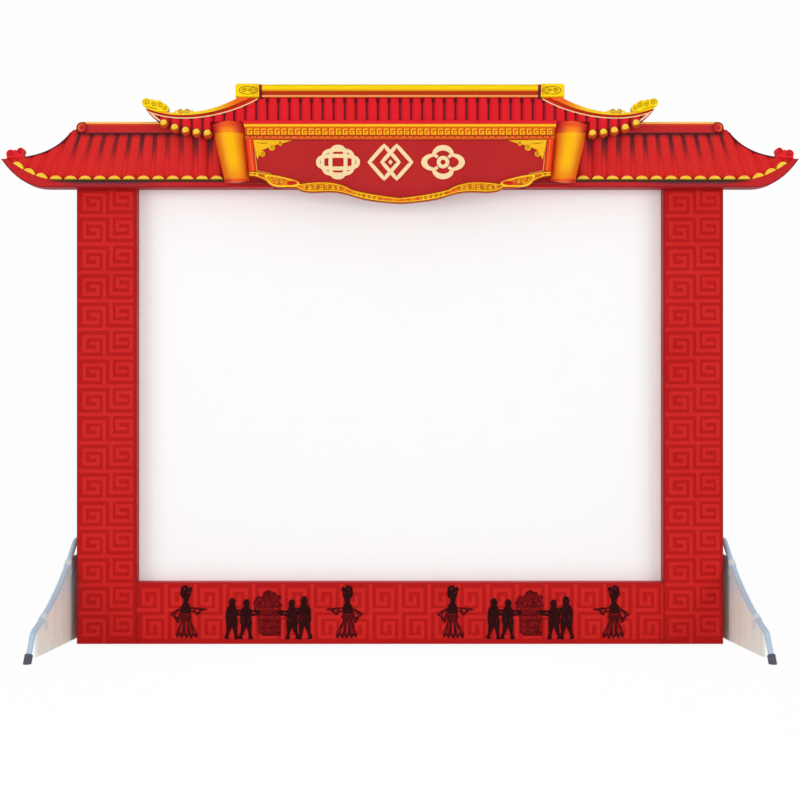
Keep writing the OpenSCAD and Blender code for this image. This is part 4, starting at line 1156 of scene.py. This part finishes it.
nameEdge = 10
lowEdge = [(x, eaveZ + z) for x, z in chain(
    (border["left"], nameEdge), (-162.0, nameEdge - 1), (-152.4, 1), (-146.6, -4), (-121.0, -3.6),
    (-115.2, -9.4), (-96.8, -8.8), (-74.2, -6.4), (-56.6, -12.8), (-37.0, -20), (0.0, -21.6))]
fieldEdge = [(x, eaveZ + z) for x, z in chain(
    (border["left"], nameEdge + 5.8), (-162.0, nameEdge + 5.8), (-148.4, 11.2), (-125.0, 7.8), (-118.2, 1),
    (-97.6, 4.4), (-82.0, 3), (-66.4, 1), (-56.6, -5.4), (-39.0, -10.8), (0.0, -15.2))]


def borderLines(name, inset, depth, radius, material):  # along the border's two edges, from end to end
    lines = []
    for left in (offsetLine(lowEdge, inset[0]), offsetLine(fieldEdge, -inset[1])):
        lines.append(atDepth(left + [(-x, z) for x, z in reversed(left[:-1])], depth))
    tubePiece(name, lines, radius, material, "gold_paint")


borderFront = border["front"]
borderLines("border_outlines", (0.3, 0.3), borderFront - 0.2, 0.5, rustLine)
borderLines("border_lines", (1.5, 1.4), borderFront, 0.6, yellowLine)


def carvedLines(hollows, curls, lines, level):  # bright curls, each over a wider rust hollow
    linePair(hollows, level - 0.5, lines, 0.95, rustLine, "gold_paint")
    linePair(curls, level + 0.2, lines, 0.5, yellowLine, "gold_paint", taper=True)


swirlPlaces = (
    (-112.0, 1.8), (-106.0, 2.3), (-99.4, 2.7), (-92.4, 2.8), (-85.4, 2.6), (-78.6, 2.2), (-72.4, 1.8),
    (-51.0, 2.0), (-45.4, 2.0), (-39.4, 1.8), (-33.0, 1.7), (-27.4, 1.5), (-172.6, 1.8), (-167.4, 1.6))
swirls = []
for k, (x, size) in enumerate(swirlPlaces):
    hand = 1 if k % 2 else -1
    z = (heightAt(lowEdge, x) + heightAt(fieldEdge, x)) / 2
    swirls.append(spiral(x, z + 0.3 * hand, size, 0.5, 1.5, start=90 + 70 * hand, hand=hand))
    swirls.append(bezier((x - 1.6 * size, z - hand * size), (x, z - hand * size * 1.3),
                         (x + 1.6 * size, z - hand * 0.4 * size), steps=6))
carvedLines("border_hollows", "border_swirls", swirls, borderFront)

leafMiddle = (-137.8, 549.0)
leafLoop = roundLoop([(-157.6, 556.2), (-146.0, 555.6), (-133.0, 552.8), (-122.0, 549.6), (-117.6, 546.4),
                      (-122.0, 543.2), (-134.0, 542.2), (-146.0, 542.8), (-154.0, 547.0)], 5)
leafInner = [(leafMiddle[0] + (x - leafMiddle[0]) * 0.9, leafMiddle[1] + (z - leafMiddle[1]) * 0.72)
             for x, z in leafLoop]
redTip = roundLoop([(-132.0, 548.0), (-126.0, 549.4), (-121.4, 547.6), (-120.6, 546.4), (-124.0, 544.8),
                    (-131.0, 544.6)], 5)
platePair("border_leaf_beds", [leafLoop], board["front"] - 0.1, borderFront + 0.3, borderGold)
platePair("border_leaves", [leafLoop, leafInner], borderFront + 0.2, borderFront + 0.8, yellowLine)
platePair("border_leaf_tips", [redTip], borderFront + 0.2, borderFront + 0.6, redLine)
leafCurls = [
    spiral(-151.6, 550.8, 2.6, 0.6, 1.4, start=30), spiral(-145.0, 548.2, 2.6, 0.6, 1.4, start=160, hand=-1),
    spiral(-138.6, 548.6, 2.4, 0.6, 1.4, start=30),
]
carvedLines("leaf_hollows", "leaf_curls", leafCurls, borderFront + 0.3)

moulding = edges("side_mouldings")


def sideLine(inset):  # a line down the left moulding, parallel to its slanted edge
    lean = columnShape["lean"] - columnShape["taper"]
    top, low = board["top"] - 1.0, eaveZ + nameEdge + 7.0
    start = moulding["left"] + 0.6 + inset
    return [(start, top), (start + (top - low) * lean, low)]


linePair("moulding_lines", moulding["front"], [sideLine(4.6)], 0.9, orangeLine, "amber_paint")
linePair("moulding_edges", moulding["front"], [sideLine(0.4)], 0.5, redLine, "amber_paint")
fieldFrame = sideLine(8.8) + [place for place in offsetLine(fieldEdge, 0.8) if -163 < place[0] < -150]
linePair("field_lines", board["front"], [fieldFrame], 0.7, warmLine, "gold_paint")
scroll = edges("corner_scrolls")
scrollCorner = (scroll["left"], scroll["top"])
scrollCurls = [
    spiral(*moved(scrollCorner, dx, dz), size, 0.6, 1.4, start=150, hand=-1)
    for dx, dz, size in ((11.0, -16.4, 2.6), (22.3, -8.8, 2.8), (32.0, -4.2, 1.9))]
scrollCurls.append([moved(scrollCorner, dx, dz) for dx, dz in ((3.4, -3.0), (12, -4.4), (18, -4.0))])
linePair("scroll_curls", scroll["front"], scrollCurls, 0.45, engraved, "gold_paint", taper=True)

ornament = {"places": (-72.8, -11.2, 50.5), "z": 572.0, "thick": 1.4}


def knotShapes(cx, cz):  # two long loops laid crosswise through a square one
    loops = [[], []]
    for i in range(40):
        a = math.tau * i / 40
        u = 21 * math.copysign(abs(math.cos(a)) ** 0.6, math.cos(a))
        v = 7.4 * math.copysign(abs(math.sin(a)) ** 0.8, math.sin(a))
        loops[0].append((cx + u * 1.12, cz + v))
        loops[1].append((cx + v * 1.2, cz + u * 0.86))
    square = roundLoop(rectangle(cx - 14.6, cz - 11.6, cx + 14.6, cz + 11.6), 8)
    return [ribbon(loop, 4.6, closed=True) for loop in loops] + [ribbon(square, 4.4, closed=True)]


def lozengeShapes(cx, cz):  # two linked lozenges
    shapes = []
    for middle in (cx - 7.4, cx + 7.4):
        corners = [(middle - 17.4, cz), (middle, cz - 19.6), (middle + 17.4, cz), (middle, cz + 19.6)]
        loop = []
        for a, b in zip(corners, corners[1:] + corners[:1]):
            loop += bezier(a, b, steps=6)[:-1]
        shapes.append(ribbon(loop, 4.4, closed=True))
    return shapes + [[[(cx - 2.6, cz), (cx, cz - 3.0), (cx + 2.6, cz), (cx, cz + 3.0)]]]


def flowerShapes(cx, cz):  # four round petals about an open eye
    petals = []
    for i in range(72):
        a = math.tau * i / 72
        radius = 15.0 + 6.4 * abs(math.cos(2 * a))
        petals.append((cx + radius * 1.2 * math.cos(a), cz + radius * 0.94 * math.sin(a)))
    inner = [(cx + (x - cx) * 0.72, cz + (z - cz) * 0.68) for x, z in petals]
    shapes = [[petals, inner], [circle(cx, cz, 7.4), circle(cx, cz, 3.0)]]
    for i in range(4):
        a = math.tau * (i / 4 + 0.125)
        rib = [(cx + u * math.cos(a), cz + v * math.sin(a)) for u, v in ((9, 8), (15, 13))]
        shapes.append(ribbon(rib, 3.6))
    return shapes


makers = {"ornament_knot": knotShapes, "ornament_lozenges": lozengeShapes, "ornament_flower": flowerShapes}
for x, (name, makeShapes) in zip(ornament["places"], makers.items()):
    bm = bmesh.new()
    for order, loops in enumerate(makeShapes(x, ornament["z"])):
        addPlate(bm, loops, board["front"] - 0.2, board["front"] + ornament["thick"] + 0.1 * order)
    meshPiece(name, bm, cream)
print("Name board and frieze dressed")

# The screen: cotton stretched over the bars and tacked behind

screen = {"turn": 0.8, "hem": 14.0, "cotton": 0.25, "gap": 0.15, "columns": 40, "rows": 32}
bars = edges("screen_cloth")
barBack = edges("stretcher_top")["back"]


def makeScreen():
    turn, hem = screen["turn"], screen["hem"]
    columns, rows = screen["columns"], screen["rows"]
    front = bars["back"] + (bars["front"] - bars["back"]) / 2
    out = screen["gap"] + screen["cotton"]
    rear = barBack - out
    width, height = bars["right"] - bars["left"], bars["top"] - bars["bottom"]
    bm = bmesh.new()

    def vertex(i, j, away, depth):  # a point of the grid when its edges lie this far outside the bars
        x = bars["left"] - away + (width + 2 * away) * i / columns
        z = bars["bottom"] - away + (height + 2 * away) * j / rows
        return bm.verts.new((x * mm, -depth * mm, z * mm))

    grid = {(i, j): vertex(i, j, -turn, front) for i in range(columns + 1) for j in range(rows + 1)}
    for i in range(columns):
        for j in range(rows):
            bm.faces.new((grid[i, j], grid[i + 1, j], grid[i + 1, j + 1], grid[i, j + 1]))
    around = [(i, 0) for i in range(columns)] + [(columns, j) for j in range(rows)]
    around += [(i, rows) for i in range(columns, 0, -1)] + [(0, j) for j in range(rows, 0, -1)]
    last = [grid[key] for key in around]
    # Rings outwards from the flat front: how far each lies outside the bars, and its depth
    for away, depth in (
            (-turn * 0.3 + out * 0.5, front - turn * 0.2), (out, front - turn), (out, rear + turn),
            (out * 0.5 - turn * 0.3, rear + turn * 0.2), (-turn, rear), (-hem, rear)):
        ring = [vertex(i, j, away, depth) for i, j in around]
        bridge(bm, last, ring)
        last = ring
    obj = meshPiece("screen_cotton", bm, screenCotton, smoothAngle=40)
    solid = obj.modifiers.new("cotton", "SOLIDIFY")
    solid.thickness = screen["cotton"] * mm
    solid.offset = 0
    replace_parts(obj, "screen_cloth")
    reach = 2 * (hem + front - rear)
    flat = ((width + reach) * mm, (height + reach) * mm)
    corner = (hem + front - rear) * mm
    area = flat[0] * flat[1] - 2 * corner * corner
    print("Screen cut", [round(v, 3) for v in flat])


makeScreen()

# Screws with crossed recesses in place of the plain ones, and small tacks in the cotton's hem

screw = {"rim": 0.8, "arm": 0.58, "slot": 0.17, "recess": 1.3, "recessFoot": 0.8, "edge": 0.15}


def addScrew(bm, x, y, z, head, shank, length, headHeight, dome):
    arm, slot = head * screw["arm"], head * screw["slot"]
    cross = []
    for turn in range(4):
        a = math.tau * turn / 4
        for u, v in ((arm, -slot), (arm, slot), (slot, slot)):
            cross.append((u * math.cos(a) - v * math.sin(a), u * math.sin(a) + v * math.cos(a)))
    rim = circle(0, 0, head * screw["rim"], 20)

    def ring(points, depth):
        return [bm.verts.new(((x + u) * mm, (y - depth) * mm, (z + v) * mm)) for u, v in points]

    last, recess = ring(rim, 0.0), ring(cross, 0.0)
    top = last + recess
    for corners in tessellate_polygon([[Vector((u, v, 0)) for u, v in loop] for loop in (rim, cross)]):
        bm.faces.new([top[i] for i in corners])
    narrow = screw["recessFoot"]
    foot = ring([(u * narrow, v * narrow) for u, v in cross], min(screw["recess"], headHeight))
    bridge(bm, recess, foot)
    bm.faces.new(foot)
    for radius, depth in ((head, dome), (head, dome + screw["edge"]), (shank, headHeight), (shank, length)):
        low = ring(circle(0, 0, radius, 20), depth)
        bridge(bm, last, low)
        last = low
    bm.faces.new(last)


def screwPiece(name, node, headHeight, dome, shank):
    bm = bmesh.new()
    for low, high in islandBoxes(node):
        head = (high[0] - low[0]) / 2
        addScrew(bm, (low[0] + high[0]) / 2, high[1], (low[2] + high[2]) / 2, head, shank, high[1] - low[1],
                 headHeight, dome)
    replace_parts(meshPiece(name, bm, zincSteel, smoothAngle=30), node)


screwPiece("cross_screws", "wood_screws", 2.0, 0.12, 1.9)
screwPiece("pivot_screws", "button_screws", 2.4, 0.8, 2.0)

tack = {"inset": 7.0, "profile": [(2.2, 0.25), (2.2, 0.4), (1.7, 0.7), (0.9, 0.9)]}
half = bars["right"] - tack["inset"]
places = []
for k in range(-5, 6):
    places += [(k * 60.0 + 14, bars["bottom"] + tack["inset"]), (k * 60.0 + 14, bars["top"] - tack["inset"])]
for k in range(-3, 4):
    middle = (bars["bottom"] + bars["top"]) / 2 + k * 62.0 + 15
    places += [(-half, middle), (half, middle)]
bm = bmesh.new()
for x, z in places:
    addTurned(bm, x, -barBack, z, tack["profile"], 1, 12)
meshPiece("cloth_tacks", bm, zincSteel, smoothAngle=35)
print("Screen and fastenings")

# Floor, backdrop, light and camera

studio = {"floor": 12.0, "back": 2.0, "sweep": 1.5, "top": 8.0, "world": 0.46, "white": 0.86, "glow": 1.06}
lamps = {
    "front": {"place": (0.0, -1.95, 0.35), "size": (1.6, 1.0), "energy": 9.5},
    "left": {"place": (-2.8, -2.2, 0.5), "size": (1.8, 1.5), "energy": 33.0},
    "right": {"place": (2.8, -2.2, 0.5), "size": (1.8, 1.5), "energy": 31.0},
}


def bareTree(owner):
    owner.use_nodes = True
    owner.node_tree.nodes.clear()
    return owner.node_tree


def directRays(tree):  # 1 for what the camera sees itself, in a gloss or through something clear
    path = tree.nodes.new("ShaderNodeLightPath").outputs
    camera, glossy, clear = (Wire(path[f"Is {kind} Ray"]) for kind in ("Camera", "Glossy", "Transmission"))
    return calc("MAXIMUM", camera, calc("MAXIMUM", glossy, clear))


def makeFloor():
    size, back, sweep = studio["floor"], studio["back"], studio["sweep"]
    profile = [(-size, 0.0), (back, 0.0)]
    for a in range(10, 91, 10):
        turn = math.radians(a)
        profile.append((back + sweep * math.sin(turn), sweep - sweep * math.cos(turn)))
    profile.append((back + sweep, studio["top"]))
    bm = bmesh.new()
    left, right = ([bm.verts.new((x, y, z)) for y, z in profile] for x in (-size, size))
    for i in range(len(profile) - 1):
        bm.faces.new((left[i], right[i], right[i + 1], left[i + 1]))
    mesh = bpy.data.meshes.new("studio_floor")
    bm.to_mesh(mesh)
    bm.free()
    mesh.shade_smooth()
    floor = bpy.data.objects.new("studio_floor", mesh)
    scene.collection.objects.link(floor)
    material = bpy.data.materials.new("paleFloor")
    tree = bareTree(material)
    tone = wire(tree, "TexNoise", {"Scale": 3.0, "Detail": 2.0}, "Fac")
    matte = wire(tree, "BsdfDiffuse", {"Color": blend(tone, rgb(246, 246, 246), rgb(250, 250, 250))})
    glow = wire(tree, "Emission", {"Color": (1, 1, 1, 1), "Strength": studio["glow"]})
    shown = wire(tree, "MixShader", {0: directRays(tree) * studio["white"], 1: matte, 2: glow})
    feed(tree.nodes.new("ShaderNodeOutputMaterial").inputs["Surface"], shown)
    mesh.materials.append(material)


def makeSky():
    scene.world = bpy.data.worlds.new("softSky")
    tree = bareTree(scene.world)
    level = wire(tree, "MapRange", {0: directRays(tree), 1: 0.0, 2: 1.0, 3: studio["world"], 4: 1.0})
    sky = wire(tree, "Background", {"Color": (1, 1, 1, 1), "Strength": level})
    feed(tree.nodes.new("ShaderNodeOutputWorld").inputs["Surface"], sky)


makeFloor()
makeSky()
for name, lamp in lamps.items():
    light = bpy.data.lights.new(name + "Soft", "AREA")
    light.shape = "RECTANGLE"
    light.size, light.size_y = lamp["size"]
    light.energy = lamp["energy"]
    holder = bpy.data.objects.new(name + "Soft", light)
    scene.collection.objects.link(holder)
    holder.location = lamp["place"]
    holder.rotation_euler = (Vector((0.0, 0.0, 0.32)) - holder.location).to_track_quat("-Z", "Y").to_euler()

view = {"distance": 1.72, "height": 0.2928, "lens": 63.75}
cameraData = bpy.data.cameras.new("camera")
cameraData.lens = view["lens"]
cameraData.sensor_width = 36.0
camera = bpy.data.objects.new("camera", cameraData)
camera.location = (0.0, -view["distance"], view["height"])
camera.rotation_euler = (math.pi / 2, 0.0, 0.0)
scene.collection.objects.link(camera)
scene.camera = camera
scene.view_settings.view_transform = "Standard"
print("Studio and camera set")
